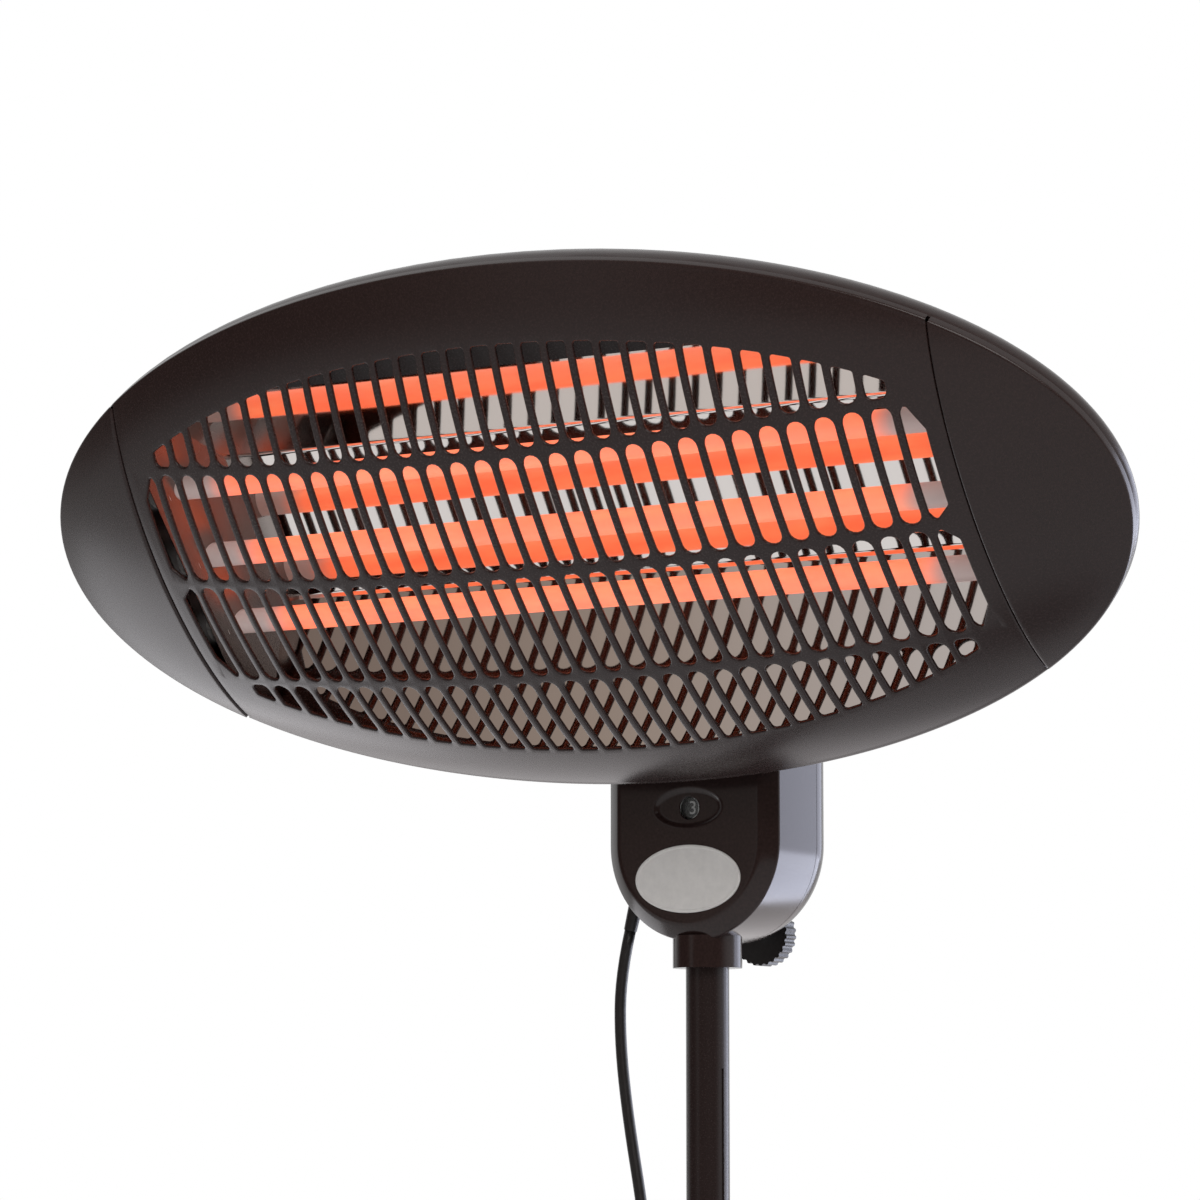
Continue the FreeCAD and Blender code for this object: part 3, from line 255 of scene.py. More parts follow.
def glowing_quartz():
    """Frosted quartz that glows along its middle and stays pale at its ends, where a faint painted glow
    stands in for light carried from the middle.
    """
    material, tree, shader = new_material("quartz_glow")
    coords = tree.nodes.new("ShaderNodeTexCoord")
    split = tree.nodes.new("ShaderNodeSeparateXYZ")
    tree.links.new(coords.outputs["Object"], split.inputs["Vector"])
    away = tree.nodes.new("ShaderNodeMath")
    away.operation = "ABSOLUTE"
    tree.links.new(split.outputs["X"], away.inputs[0])
    glow = tree.nodes.new("ShaderNodeMapRange")
    glow.interpolation_type = "SMOOTHSTEP"
    set_values(glow, From_Min=GLOW_ENDS, From_Max=GLOW_LASTS, To_Min=0.0, To_Max=1.0)
    tree.links.new(away.outputs[0], glow.inputs["Value"])
    stretch = tree.nodes.new("ShaderNodeMapping")
    set_values(stretch, Scale=GLOW_STREAKS)
    tree.links.new(coords.outputs["Object"], stretch.inputs["Vector"])
    noise = tree.nodes.new("ShaderNodeTexNoise")
    set_values(noise, Scale=2.0, Detail=3.0)
    tree.links.new(stretch.outputs["Vector"], noise.inputs["Vector"])
    hot = color_ramp(tree, noise.outputs["Fac"], GLOW_STOPS)
    # the cold ends get a faint painted glow, not heat of their own
    light = color_mix(tree, END_PAINTED_GLOW, hot, glow.outputs["Result"])
    tree.links.new(light, shader.inputs["Emission Color"])
    body = color_mix(tree, COLD_QUARTZ, HOT_QUARTZ, glow.outputs["Result"])
    tree.links.new(body, shader.inputs["Base Color"])
    set_values(shader, Roughness=0.45, Emission_Strength=GLOW_STRENGTH)
    return material


def clear_window():
    material, _, shader = new_material("window_clear")
    set_values(shader, Base_Color=(0.97, 0.98, 0.98, 1), Roughness=0.03, Transmission_Weight=1.0, IOR=1.2)
    return material


BLACK = (0.0220, 0.0120, 0.0110)
looks = {
    # slot: name, colour, roughness, scale of the noise, strength of the bump
    "head_paint": textured("head_satin_paint", BLACK, 0.27, 900, 0.008, spread=0.03, gloss=0.30),
    "reflector": metal("reflector_polish", (0.76, 0.715, 0.685), 0.04, 14, 0.06),
    "quartz": glowing_quartz(),
    "ceramic": textured("ceramic_white", (0.75, 0.73, 0.69), 0.55, 300, 0.15),
    "steel": metal("zinc_steel", (0.60, 0.60, 0.61), 0.30, 120, 0.1),
    "dark_steel": textured("black_screw", (0.018, 0.018, 0.018), 0.35, 700, 0.1),
    "mount_paint": textured("mount_gloss_paint", BLACK, 0.18, 900, 0.04, gloss=0.3),
    "box_plastic": textured("box_gloss_plastic", BLACK, 0.18, 700, 0.04, gloss=0.3),
    "window": clear_window(),
    "wheel": textured("wheel_plastic", (0.01, 0.01, 0.01), 0.5, 500, 0.1),
    "inner_plastic": textured("inner_plastic", (0.02, 0.02, 0.02), 0.5, 500, 0.1),
    "badge": textured("badge_plate", (0.66, 0.64, 0.62), 0.40, 260, 0.08, shade=0.05),
    "knob": textured("knob_plastic", (0.014, 0.012, 0.012), 0.42, 600, 0.15, gloss=0.4),
    "cord": textured("lead_rubber", (0.012, 0.011, 0.011), 0.40, 500, 0.12, gloss=0.4),
    "pole_paint": textured("pole_satin_coat", (0.0190, 0.0120, 0.0115), 0.26, 1500, 0.12, gloss=0.28),
    "base_paint": textured("base_powder_coat", (0.0200, 0.0130, 0.0125), 0.50, 1200, 0.35, gloss=0.3),
    "weight": textured("base_weight_cast", (0.35, 0.34, 0.32), 0.9, 80, 0.6),
    "feet": textured("feet_rubber", (0.015, 0.015, 0.015), 0.8, 400, 0.3),
    "tie": textured("tie_plastic", (0.012, 0.012, 0.012), 0.45, 400, 0.1),
    "plug": textured("plug_rubber", (0.013, 0.013, 0.013), 0.45, 400, 0.2),
    "pins": metal("plated_brass", (0.72, 0.70, 0.64), 0.22, 100, 0.05),
}
tray_end_metal = metal("tray_end_metal", (0.28, 0.235, 0.22), 0.25, 30, 0.1)
numeral_ink = textured("numeral_ink", (0.30, 0.29, 0.28), 0.6, 400, 0.1, shade=0.05)
for row in frame["record"]["subparts"]:
    node = nodes[row["node"]]
    node.data.materials.clear()
    node.data.materials.append(looks[row["material_slot"]])


def add_mesh(name, points, faces, material, smooth=True):
    mesh = bpy.data.meshes.new(name)
    mesh.from_pydata([tuple(p) for p in points], [], faces)
    mesh.materials.append(material)
    for polygon in mesh.polygons:
        polygon.use_smooth = smooth
    obj = bpy.data.objects.new(name, mesh)
    scene.collection.objects.link(obj)
    return obj


def ring_faces(first, second):
    """Faces between two rings of the same number of points."""
    count = len(first)
    pairs = [(index, (index + 1) % count) for index in range(count)]
    return [(first[here], first[after], second[after], second[here]) for here, after in pairs]


def ring_rows(count, rows):
    """Faces between rings of count points that follow one another in one list."""
    rings = [range(row * count, (row + 1) * count) for row in range(rows)]
    return [face for first, second in zip(rings, rings[1:]) for face in ring_faces(first, second)]


# Mains lead: one smooth line from the gland, down the pole and into the coil on the base
LEAD_SIDES = 14
TURN_POINTS = 16
CLIMB_TURN = 0.25
TAIL_SHARES = (0.08, 0.4, 0.75, 1.0)
LAYER_LOW = BASE_HEIGHT + TIE_SHEET + TIE_PLAY + CORD_RADIUS
GLAND_TIP = (-42.9, 2, RIM - 169.8)
ROUTE = [
    GLAND_TIP, (-48.3, 2, RIM - 190.5), (-48.6, 2, RIM - 222), (-44.2, 2.3, RIM - 258),
    (-36.5, 2.8, RIM - 300), (-30.5, 3.4, RIM - 352), (-27.2, 4, RIM - 418), (-26, 4.6, RIM - 496),
    (-26.6, 5.2, RIM - 580), (-28.6, 6, RIM - 664), (-31.8, 7, RIM - 748), (-35.8, 8, RIM - 832),
    (-40, 9.2, RIM - 916), (-44, 10.6, RIM - 1000), (-47.6, 12, RIM - 1084), (-50.6, 13.6, RIM - 1168),
    (-52.8, 15.4, RIM - 1252), (-54.2, 17.4, RIM - 1336), (-54.8, 19.8, RIM - 1420),
    (-54.6, 22.6, RIM - 1504), (-53.8, 26, RIM - 1580), (-52.6, 31, RIM - 1645), (-50.6, 40, RIM - 1698),
    (-47.5, 54, RIM - 1736), (-COIL_OUTSIDE - 2, COIL_CENTRE - 40, 43.5),
    (-COIL_OUTSIDE, COIL_CENTRE - 23, LAYER_LOW), (-COIL_OUTSIDE, COIL_CENTRE - 5.5, LAYER_LOW),
]


def coil_points():
    """The coil's turns as control points: in on the base, up a layer, and out on top."""
    points = []
    # A quadratic spline runs inside its control points, so these stand a little outside the coil
    swell = 1 / (0.75 + 0.25 * math.cos(2 * math.pi / TURN_POINTS))
    for index in range(1, COIL_TURNS * TURN_POINTS):
        turn = index / TURN_POINTS
        middle = turn - COIL_TURNS / 2
        if abs(middle) > CLIMB_TURN:
            inwards = COIL_TURNS / 2 - abs(middle)
            rise = 0.0 if middle < 0 else 1.0
        else:
            inwards = COIL_TURNS / 2 - middle ** 2 / (2 * CLIMB_TURN) - CLIMB_TURN / 2
            share = middle / (2 * CLIMB_TURN) + 0.5
            rise = share * share * (3 - 2 * share)
        radius = (COIL_OUTSIDE - COIL_STEP * inwards) * swell
        angle = math.pi - 2 * math.pi * turn
        points.append((radius * math.cos(angle), COIL_CENTRE + radius * math.sin(angle),
                       LAYER_LOW + rise * COIL_STEP))
    return points


def smooth_line(points):
    """Points read from a NURBS spline with these control points."""
    curve = bpy.data.curves.new("lead_line", "CURVE")
    curve.dimensions = "3D"
    spline = curve.splines.new("NURBS")
    spline.points.add(len(points) - 1)
    for point, place in zip(spline.points, points):
        point.co = (place[0] * MM, place[1] * MM, place[2] * MM, 1)
    spline.order_u = 3
    spline.use_endpoint_u = True
    spline.resolution_u = 6
    holder = bpy.data.objects.new("lead_line", curve)
    scene.collection.objects.link(holder)
    mesh = bpy.data.meshes.new_from_object(holder)
    line = [vertex.co.copy() for vertex in mesh.vertices]
    bpy.data.objects.remove(holder)
    bpy.data.meshes.remove(mesh)
    return line


def tube_mesh(name, line, radius, sides, material):
    """A round tube along a line, its rings carried along without twist."""
    points = []
    way = (line[1] - line[0]).normalized()
    side = way.orthogonal().normalized()
    for index, place in enumerate(line):
        ahead = line[min(index + 1, len(line) - 1)] - line[max(index - 1, 0)]
        ahead.normalize()
        side = (side - ahead * side.dot(ahead)).normalized()
        up = ahead.cross(side)
        for step in range(sides):
            angle = 2 * math.pi * step / sides
            points.append(place + (side * math.cos(angle) + up * math.sin(angle)) * radius)
    faces = ring_rows(sides, len(line))
    faces.append(tuple(range(sides - 1, -1, -1)))
    last = (len(line) - 1) * sides
    faces.append(tuple(range(last, last + sides)))
    return add_mesh(name, points, faces, material)


def make_lead():
    end = (-COIL_OUTSIDE, COIL_CENTRE, LAYER_LOW + COIL_STEP)
    tail = [(end[0], end[1] + share * COIL_TAIL, end[2]) for share in TAIL_SHARES]
    line = smooth_line(ROUTE + coil_points() + tail)
    lead = tube_mesh("mains_lead", line, CORD_RADIUS * MM, LEAD_SIDES, looks["cord"])
    length = sum((b - a).length for a, b in zip(line, line[1:]))
    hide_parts("cord_drop", "cord_coil")
    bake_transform(lead)


# Outlines: convex loops with round corners, anticlockwise
ROUND_STEP = math.radians(22)


def round_corners(corners, radii, grow=0.0):
    """An outline with a round at each corner, drawn out by grow."""
    loop = []
    for index, corner in enumerate(corners):
        corner = Vector(corner)
        back = (Vector(corners[index - 1]) - corner).normalized()
        ahead = (Vector(corners[(index + 1) % len(corners)]) - corner).normalized()
        half = back.angle(ahead) / 2
        middle = corner + (back + ahead).normalized() * (radii[index] / math.sin(half))
        start = math.atan2(back.x, -back.y)
        turn = math.pi - 2 * half
        steps = max(2, round(turn / ROUND_STEP))
        for step in range(steps + 1):
            angle = start + turn * step / steps
            loop.append(middle + Vector((math.cos(angle), math.sin(angle))) * (radii[index] + grow))
    return loop


def divided(loop, longest):
    """The same loop with its long straight stretches divided."""
    points = []
    for here, there in zip(loop, loop[1:] + loop[:1]):
        parts = max(1, math.ceil((there - here).length / longest))
        points.extend(here.lerp(there, part / parts) for part in range(parts))
    return points


def oval(middle, half_x, half_y, count):
    turns = [math.tau * step / count for step in range(count)]
    return [Vector((middle[0] + half_x * math.cos(t), middle[1] + half_y * math.sin(t))) for t in turns]


def zipped(outer, inner, middle, reach):
    """Triangles between two loops round one middle, as places in the outer loop and in the inner one."""
    def by_turn(loop):
        turns = [math.atan2((p[1] - middle[1]) / reach[1], (p[0] - middle[0]) / reach[0]) % math.tau
                 for p in loop]
        first = turns.index(min(turns))
        order = [(first + step) % len(loop) for step in range(len(loop))]
        return order + [first], [turns[place] for place in order] + [turns[first] + math.tau]

    outer_order, outer_turns = by_turn(outer)
    inner_order, inner_turns = by_turn(inner)
    faces = []
    a = b = 0
    while a < len(outer) or b < len(inner):
        step_outer = b == len(inner) or (a < len(outer) and outer_turns[a + 1] <= inner_turns[b + 1])
        here, across = outer_order[a], inner_order[b]
        if step_outer:
            a += 1
            faces.append((("outer", here), ("outer", outer_order[a]), ("inner", across)))
        else:
            b += 1
            faces.append((("outer", here), ("inner", inner_order[b]), ("inner", across)))
    return faces


# Domed grille with slots, and the plain caps at its ends
def dome_height(x, u, grow=0.0):
    inside = max(0.0, 1 - (x / (DOME_X + grow)) ** 2 - (u / (DOME_Y + grow)) ** 2)
    return (DOME_Z + grow) * math.sqrt(inside) - DOME_Z * DOME_FLAT


def dome_normal(x, u):
    n = dome_height(x, u) + DOME_Z * DOME_FLAT
    return Vector((x / DOME_X ** 2, u / DOME_Y ** 2, n / DOME_Z ** 2)).normalized()


def rim_height_at(x):
    return HALF_HEIGHT * math.sqrt(1 - (x / HALF_WIDTH) ** 2)


def arc_height_at(x):
    return ARC_HALF_HEIGHT * math.sqrt(1 - (x / ARC_HALF_WIDTH) ** 2)


class Sheet:
    """Collects the faces of a pressed sheet whose points lie on the dome, or a little under it."""

    def __init__(self, grow=0.0):
        self.grow = grow
        self.points, self.faces, self.known = [], [], {}

    def keep(self, key, place):
        if key not in self.known:
            self.known[key] = len(self.points)
            self.points.append(place)
        return self.known[key]

    def at(self, x, u, sink=0.0):
        place = Vector((x, u, dome_height(x, u, self.grow))) - dome_normal(x, u) * sink
        return self.keep((round(x, 3), round(u, 3), round(sink, 3)), place)

    def free(self, x, u, n):
        return self.keep(("free", round(x, 3), round(u, 3), round(n, 3)), Vector((x, u, n)))

    def face(self, corners, turned=False):
        corners = list(dict.fromkeys(corners))
        if len(corners) > 2:
            self.faces.append(tuple(corners[::-1] if turned else corners))

    def ring(self, outer, inner, turned=False):
        for corners in ring_faces(outer, inner):
            self.face(corners, turned)

    def strip(self, first, second, turned=False):
        for index in range(len(first) - 1):
            self.face((first[index], first[index + 1], second[index + 1], second[index]), turned)

    def build(self, name, material):
        places = [HEAD @ (point * MM) for point in self.points]
        return add_mesh(name, places, self.faces, material)


# Places of the points along the sides and ends of a slot's field and across the plain border, as shares
SIDE_SHARES = [0.0, 0.045, 0.105, 0.23, 0.36, 0.5, 0.64, 0.77, 0.895, 0.955, 1.0]
EDGE_SHARES = [0.25, 0.5, 0.75]
BORDER_SHARES = [0.0, 0.12, 0.25, 0.40, 0.55, 0.70, 0.84, 0.94, 1.0]
ROW_LOW = ROW_BAR / 2
ROW_HIGH = ROW_LOW + ROW_LENGTH
ROW_MIDDLE = ROW_LENGTH + ROW_BAR
SLOT_END = 0.97 * SLOT_HALF
SLOT_RUN = 7
ARC_BEND = 0.45
ARC_CORNER = 1.5
END_SLOPE = 0.87 * SLOT_HALF
END_ROUNDS = [1.4, 2.0, 2.0, 1.4, 1.6, 1.6]
BORDER_GAP = 3
BORDER_LEAST = 2
SEAM_FLAT = 4.5
HAIR = 0.001


def border_at(x):
    """Where the slotted field ends and the plain border starts."""
    return max(arc_height_at(x) + BORDER_GAP, ROW_MIDDLE + BORDER_LEAST)


def middle_slot(x, grow):
    left, right = x - SLOT_HALF, x + SLOT_HALF
    corners = [(left, ROW_LOW), (right, ROW_LOW), (right, ROW_HIGH), (left, ROW_HIGH)]
    return round_corners(corners, [SLOT_END] * 4, grow)


def arc_slot(x, grow):
    """A slot of the outer row: round inside, and cut along the arc outside."""
    left, right, low = x - SLOT_HALF, x + SLOT_HALF, ROW_HIGH + ROW_BAR
    corners = [(left, low), (right, low), (right, arc_height_at(right)), (left, arc_height_at(left))]
    bend = min(SLOT_END, ARC_BEND * (arc_height_at(right) - low))
    return round_corners(corners, [bend, bend, ARC_CORNER, ARC_CORNER], grow)


def end_slot(x, grow):
    """The last slot of a row, with both outer corners cut off."""
    left, right = x - SLOT_HALF, x + SLOT_HALF
    start = right - END_CUT_ACROSS
    corners = [(start, ROW_LOW), (right, ROW_LOW + END_CUT_LOW), (right, ROW_HIGH - END_CUT_HIGH),
               (start, ROW_HIGH), (left, ROW_HIGH - END_SLOPE), (left, ROW_LOW + END_SLOPE)]
    return round_corners(corners, END_ROUNDS, grow)


def cell(left, right, bottom_at, top_at):
    """The outline of the field round one slot, anticlockwise."""
    def side(x):
        return [(x, bottom_at(x) + share * (top_at(x) - bottom_at(x))) for share in SIDE_SHARES]

    top = [(right - share * (right - left)) for share in EDGE_SHARES]
    bottom = [(left + share * (right - left)) for share in EDGE_SHARES]
    return (side(right) + [(x, top_at(x)) for x in top] + side(left)[::-1]
            + [(x, bottom_at(x)) for x in bottom])


def slot_fields():
    """Every slot of the upper right quarter: its outline's function, its middle and its cell."""
    for column in range(COLUMNS // 2):
        x = (column + 0.5) * SLOT_PITCH
        left, right = x - SLOT_PITCH / 2, x + SLOT_PITCH / 2
        last = column == COLUMNS // 2 - 1
        yield (end_slot if last else middle_slot, x, (ROW_LOW + ROW_HIGH) / 2,
               cell(left, right, lambda x: 0.0, lambda x: ROW_MIDDLE))
        if not last:
            yield (arc_slot, x, (ROW_HIGH + ROW_BAR + arc_height_at(x)) / 2,
                   cell(left, right, lambda x: ROW_MIDDLE, border_at))


# The rolled edge of a slot, as growth and depth under the dome
SLOT_ROLL = [(0.75, 0.0), (0.42, 0.06), (0.14, 0.28), (0.0, 0.62), (0.0, SHEET)]
# The rolled edge of the grille at its seams, as distance from the seam and depth
SEAM_ROLL = [(1.3, 0.0), (0.75, 0.08), (0.45, 0.34), (0.3, 0.75), (0.3, SHEET)]
# The rolled edge at the rim, as distance inside the rim and drop below the dome
RIM_ROLL = [(1.2, 0.0), (0.45, 0.30), (0.08, 0.85), (0.0, 1.55)]


def make_slots(sheet, across, up):
    turned = across * up < 0
    for outline, x, u, field in slot_fields():
        reach = (SLOT_PITCH / 2, u - field[0][1])
        loops = [divided(outline(x, grow), SLOT_RUN) for grow, sink in SLOT_ROLL]
        rings = []
        for loop, (grow, sink) in zip(loops, SLOT_ROLL):
            rings.append([sheet.at(across * p[0], up * p[1], sink) for p in loop])
        for first, second in zip(rings, rings[1:]):
            sheet.ring(first, second, turned)
        front, back = (rings[0], loops[0], 0.0, False), (rings[-1], loops[-1], SHEET, True)
        for ring, loop, sink, inside in (front, back):
            around = [sheet.at(across * p[0], up * p[1], sink) for p in field]
            for corners in zipped(field, loop, (x, u), reach):
                places = [around[k] if which == "outer" else ring[k] for which, k in corners]
                sheet.face(places, turned != inside)


def make_borders(sheet, across, up):
    """The plain sheet outside the slotted field, rolled over at the seams and at the rim."""
    turned = across * up < 0
    edges = [index * SLOT_PITCH for index in range(COLUMNS // 2 + 1)]
    lines = []
    for left, right in zip(edges, edges[1:]):
        lines.append((left, 0.0))
        lines.extend((left + share * (right - left), 0.0) for share in EDGE_SHARES)
    lines.append((edges[-1], 0.0))
    lines.append((SEAM - SEAM_FLAT, 0.0))
    lines.extend((SEAM - away, sink) for away, sink in SEAM_ROLL)

    def levels(low, high, steps):
        return [low + share * (high - low) for share in steps]

    patches = [
        ([line for line in lines if line[0] >= edges[-1] - HAIR],
         lambda x: levels(0, ROW_MIDDLE, SIDE_SHARES)),
        ([line for line in lines if line[0] >= edges[-2] - HAIR],
         lambda x: levels(ROW_MIDDLE, border_at(x), SIDE_SHARES)),
        (lines, lambda x: levels(border_at(x), rim_height_at(x) - RIM_ROLL[0][0], BORDER_SHARES)),
    ]
    for columns, level in patches:
        for (left, left_sink), (right, right_sink) in zip(columns, columns[1:]):
            for under in (0.0, SHEET):
                a = [sheet.at(across * left, up * u, max(left_sink, under)) for u in level(left)]
                b = [sheet.at(across * right, up * u, max(right_sink, under)) for u in level(right)]
                sheet.strip(b, a, turned != (under > 0))
    for (left, left_sink), (right, right_sink) in zip(lines, lines[1:]):
        chains = []
        for x, sink in ((left, left_sink), (right, right_sink)):
            top = rim_height_at(x) - RIM_ROLL[0][0]
            chain = [sheet.at(across * x, up * top, sink)]
            for inside, drop in RIM_ROLL[1:]:
                n = dome_height(x, top) - drop
                chain.append(sheet.free(across * x, up * (rim_height_at(x) - inside), n))
            chain.append(sheet.free(across * x, up * rim_height_at(x), -LIP))
            chains.append(chain)
        sheet.strip(chains[1], chains[0], turned)


def make_grille():
    sheet = Sheet()
    for across in (1, -1):
        for up in (1, -1):
            make_slots(sheet, across, up)
            make_borders(sheet, across, up)
    grille = sheet.build("domed_grille", looks["head_paint"])
    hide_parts("front_grille")
    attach(grille, "head")


# Each row of a cap runs from the seam to the rim, its points close together over the round edge
CAP_SHARES = [0.0, 0.0015, 0.004, 0.008, 0.014, 0.022, 0.04, 0.08]
CAP_SHARES += [0.15 + 0.85 * step / 12 for step in range(13)]
CAP_ROWS = 64
CAP_SEAM = SEAM + 0.1
CAP_BEND = 1.2


def make_cap(side, across):
    """A plain end of the front: a little prouder than the grille, with a round edge along the seam."""
    sheet = Sheet(CAP_PROUD)
    inset = RIM_ROLL[0][0]
    half_x, half_y = HALF_WIDTH - inset, HALF_HEIGHT - inset
    limit = math.acos(CAP_SEAM / half_x)
    reach = half_y * math.sin(limit)
    rows, edges = [], []
    for step in range(CAP_ROWS + 1):
        along = math.sin(math.pi / 2 * (2 * step / CAP_ROWS - 1))
        start = Vector((CAP_SEAM, along * reach))
        turn = along * limit
        end = Vector((half_x * math.cos(turn), half_y * math.sin(turn)))
        row = [sheet.at(across * CAP_SEAM, start.y, 2 * SHEET)]
        for share in CAP_SHARES:
            place = start.lerp(end, share)
            off = max(0.0, 1 - (place.x - CAP_SEAM) / CAP_BEND)
            row.append(sheet.at(across * place.x, place.y, CAP_BEND * (1 - math.sqrt(1 - off ** 2))))
        rows.append(row)
        chain = [row[-1]]
        top = dome_height(end.x, end.y, CAP_PROUD)
        for inside, drop in RIM_ROLL[1:]:
            chain.append(sheet.free(across * (HALF_WIDTH - inside) * math.cos(turn),
                                    (HALF_HEIGHT - inside) * math.sin(turn), top - drop))
        chain.append(sheet.free(across * HALF_WIDTH * math.cos(turn), HALF_HEIGHT * math.sin(turn), -LIP))
        edges.append(chain)
    for first, second in zip(rows, rows[1:]):
        sheet.strip(first, second, across < 0)
    for first, second in zip(edges, edges[1:]):
        sheet.strip(first, second, across < 0)
    cap = sheet.build("cap_" + side, looks["head_paint"])
    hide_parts("end_cap_" + side)
    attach(cap, "head")


# Polished tray behind the tubes: a folded sheet, end walls with their brackets, and a painted strip above
TRAY_BACK = 28.2
TRAY_BEND = 1.6
TRAY_REACH = 204.0
TRAY_GAP = 1.6
TRAY_COLUMNS = 20
TRAY_END = 185.0
TRAY_END_LEAN = 0.44
TRAY_END_FRONT = 10.0
TRAY_END_STEPS = 6
TRAY_END_RUN = 5
HOLE_POINTS = 32
FOLD_STEPS = 5
EDGE_STEP = 0.25
EDGE_HAIR = 0.01
STRIP_HALF = 140.0
STRIP_COLUMNS = 14
STRIP_OVER = 8
BRACKET_FOOT = 190.6
BRACKET_PLATE = 212.2
# Extra lines beside the folds, as distances on the slopes and on the flat back
SLOPE_LINES = (6, 1)
BACK_LINES = (1, 8)


def under_dome(x, u):
    """How far forward the tray may reach behind the grille."""
    return dome_height(x, u) - SHEET - TRAY_GAP


def lower_edge(x):
    """Where the tray's lower slope meets the grille, as height."""
    u = -TRAY_BACK_HALF
    while slope_at(u) < under_dome(x, u):
        u -= EDGE_STEP
    return u


def slope_at(u):
    """Depth of the tray's back and of its slopes at a height."""
    return max(0.0, abs(u) - TRAY_BACK_HALF) * TRAY_SLOPE - TRAY_BACK


def end_at(n):
    """How far to the side the tray's slanted end walls stand at a depth."""
    return TRAY_END + TRAY_END_LEAN * (n + TRAY_BACK)


def tray_profile(x):
    """The tray's section from its top edge to its lower edge, with round folds, as height and depth."""
    angle = math.atan(TRAY_SLOPE)
    radius = TRAY_BEND / math.tan(angle / 2)
    fold = []
    for step in range(FOLD_STEPS + 1):
        turn = angle * (1 - step / FOLD_STEPS)
        fold.append((TRAY_BACK_HALF - TRAY_BEND + radius * math.sin(turn),
                     radius * (1 - math.cos(turn)) - TRAY_BACK))
    start, end, low = fold[0][0], fold[-1][0], lower_edge(x)
    top = [TRAY_TOP, (TRAY_TOP + start) / 2] + [start + away for away in SLOPE_LINES]
    bottom = [-start - away for away in SLOPE_LINES[::-1]] + [(low - start) / 2, low]
    back = [(end - away, -TRAY_BACK) for away in BACK_LINES]
    upper = [(u, slope_at(u)) for u in top] + fold + back
    lower = [(-u, n) for u, n in (fold + back)[::-1]] + [(u, slope_at(u)) for u in bottom]
    return upper + [(0.0, -TRAY_BACK)] + lower


def thicken(obj, sheet):
    """Gives a single surface the thickness of its sheet, away from its front."""
    solid = obj.modifiers.new("sheet", "SOLIDIFY")
    solid.thickness = sheet * MM
    solid.offset = -1
    solid.use_even_offset = True


def tray_piece(name, points, faces, material):
    piece = add_mesh(name, [HEAD @ (Vector(p) * MM) for p in points], faces, material, False)
    thicken(piece, TRAY_SHEET)
    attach(piece, "head")
    return piece


def make_tray():
    """The folded sheet, a little deeper than the solid tray and round at its folds."""
    shares = [step / TRAY_COLUMNS for step in range(-TRAY_COLUMNS, TRAY_COLUMNS + 1)]
    rows = [[(share * end_at(n), u, n) for u, n in tray_profile(share * TRAY_REACH)] for share in shares]
    count = len(rows[0])
    faces = []
    for left in range(len(rows) - 1):
        for step in range(count - 1):
            a, b = left * count + step, (left + 1) * count + step
            faces.append((a, a + 1, b + 1, b))
    tray = tray_piece("polished_tray", [p for row in rows for p in row], faces, looks["reflector"])
    middles = [abs(here[1] + after[1]) / 2 for here, after in zip(rows[0], rows[0][1:])]
    folds = [step for step, u in enumerate(middles) if abs(u - TRAY_BACK_HALF) < TRAY_BEND]
    for polygon in tray.data.polygons:
        polygon.use_smooth = polygon.index % (count - 1) in folds
    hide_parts("reflector")


def make_tray_end(side, across):
    """An end wall of the tray with a hole for each tube."""
    low = lower_edge(TRAY_REACH)
    splits = [low, -TUBE_PITCH / 2, TUBE_PITCH / 2, TRAY_TOP]
    points, faces = [], []
    for place, (bottom, top) in zip((-1, 0, 1), zip(splits, splits[1:])):
        folds = [u for u in (-TRAY_BACK_HALF, TRAY_BACK_HALF) if bottom < u < top]
        back = [Vector((u, slope_at(u))) for u in [bottom] + folds + [top]]
        steps = [top + (bottom - top) * step / TRAY_END_STEPS for step in range(TRAY_END_STEPS + 1)]
        front = [Vector((u, max(min(under_dome(TRAY_REACH, u), TRAY_END_FRONT), slope_at(u)))) for u in steps]
        front = [p for p in front if p.y > slope_at(p.x) + EDGE_HAIR]
        outline = divided(back + front, TRAY_END_RUN)
        middle = (place * TUBE_PITCH, -TUBE_DEPTH)
        hole = oval(middle, TUBE_HOLE, TUBE_HOLE, HOLE_POINTS)
        first = len(points)
        points.extend((across * end_at(p.y), p.x, p.y) for p in outline + hole)
        for corners in zipped(outline, hole, middle, (1, 1)):
            corner = tuple(first + k + (len(outline) if which == "inner" else 0) for which, k in corners)
            faces.append(corner[::-1] if across > 0 else corner)
    wall = tray_piece("tray_end_" + side, points, faces, tray_end_metal)


def make_tube_bracket(side, across):
    """A bent plate behind the tray's end wall that holds the tubes' ceramic ends."""
    inner, level = BRACKET_PLATE - BRACKET_SHEET, BRACKET_SHEET - BRACKET_BACK
    section = [(BRACKET_FOOT, -BRACKET_BACK), (BRACKET_PLATE, -BRACKET_BACK), (BRACKET_PLATE, BRACKET_FRONT),
               (inner, BRACKET_FRONT), (inner, level), (BRACKET_FOOT, level)]
    count = len(section)
    points = [(across * x, u, n) for u in (-BRACKET_HALF, BRACKET_HALF) for x, n in section]
    low, high = list(range(count)), list(range(count, 2 * count))
    faces = [tuple(low), tuple(high[::-1])] + ring_faces(high, low)
    if across < 0:
        faces = [face[::-1] for face in faces]
    bracket = add_mesh("bent_bracket_" + side, [HEAD @ (Vector(p) * MM) for p in points], faces,
                       looks["steel"], False)
    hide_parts("tube_bracket_" + side)
    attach(bracket, "head")


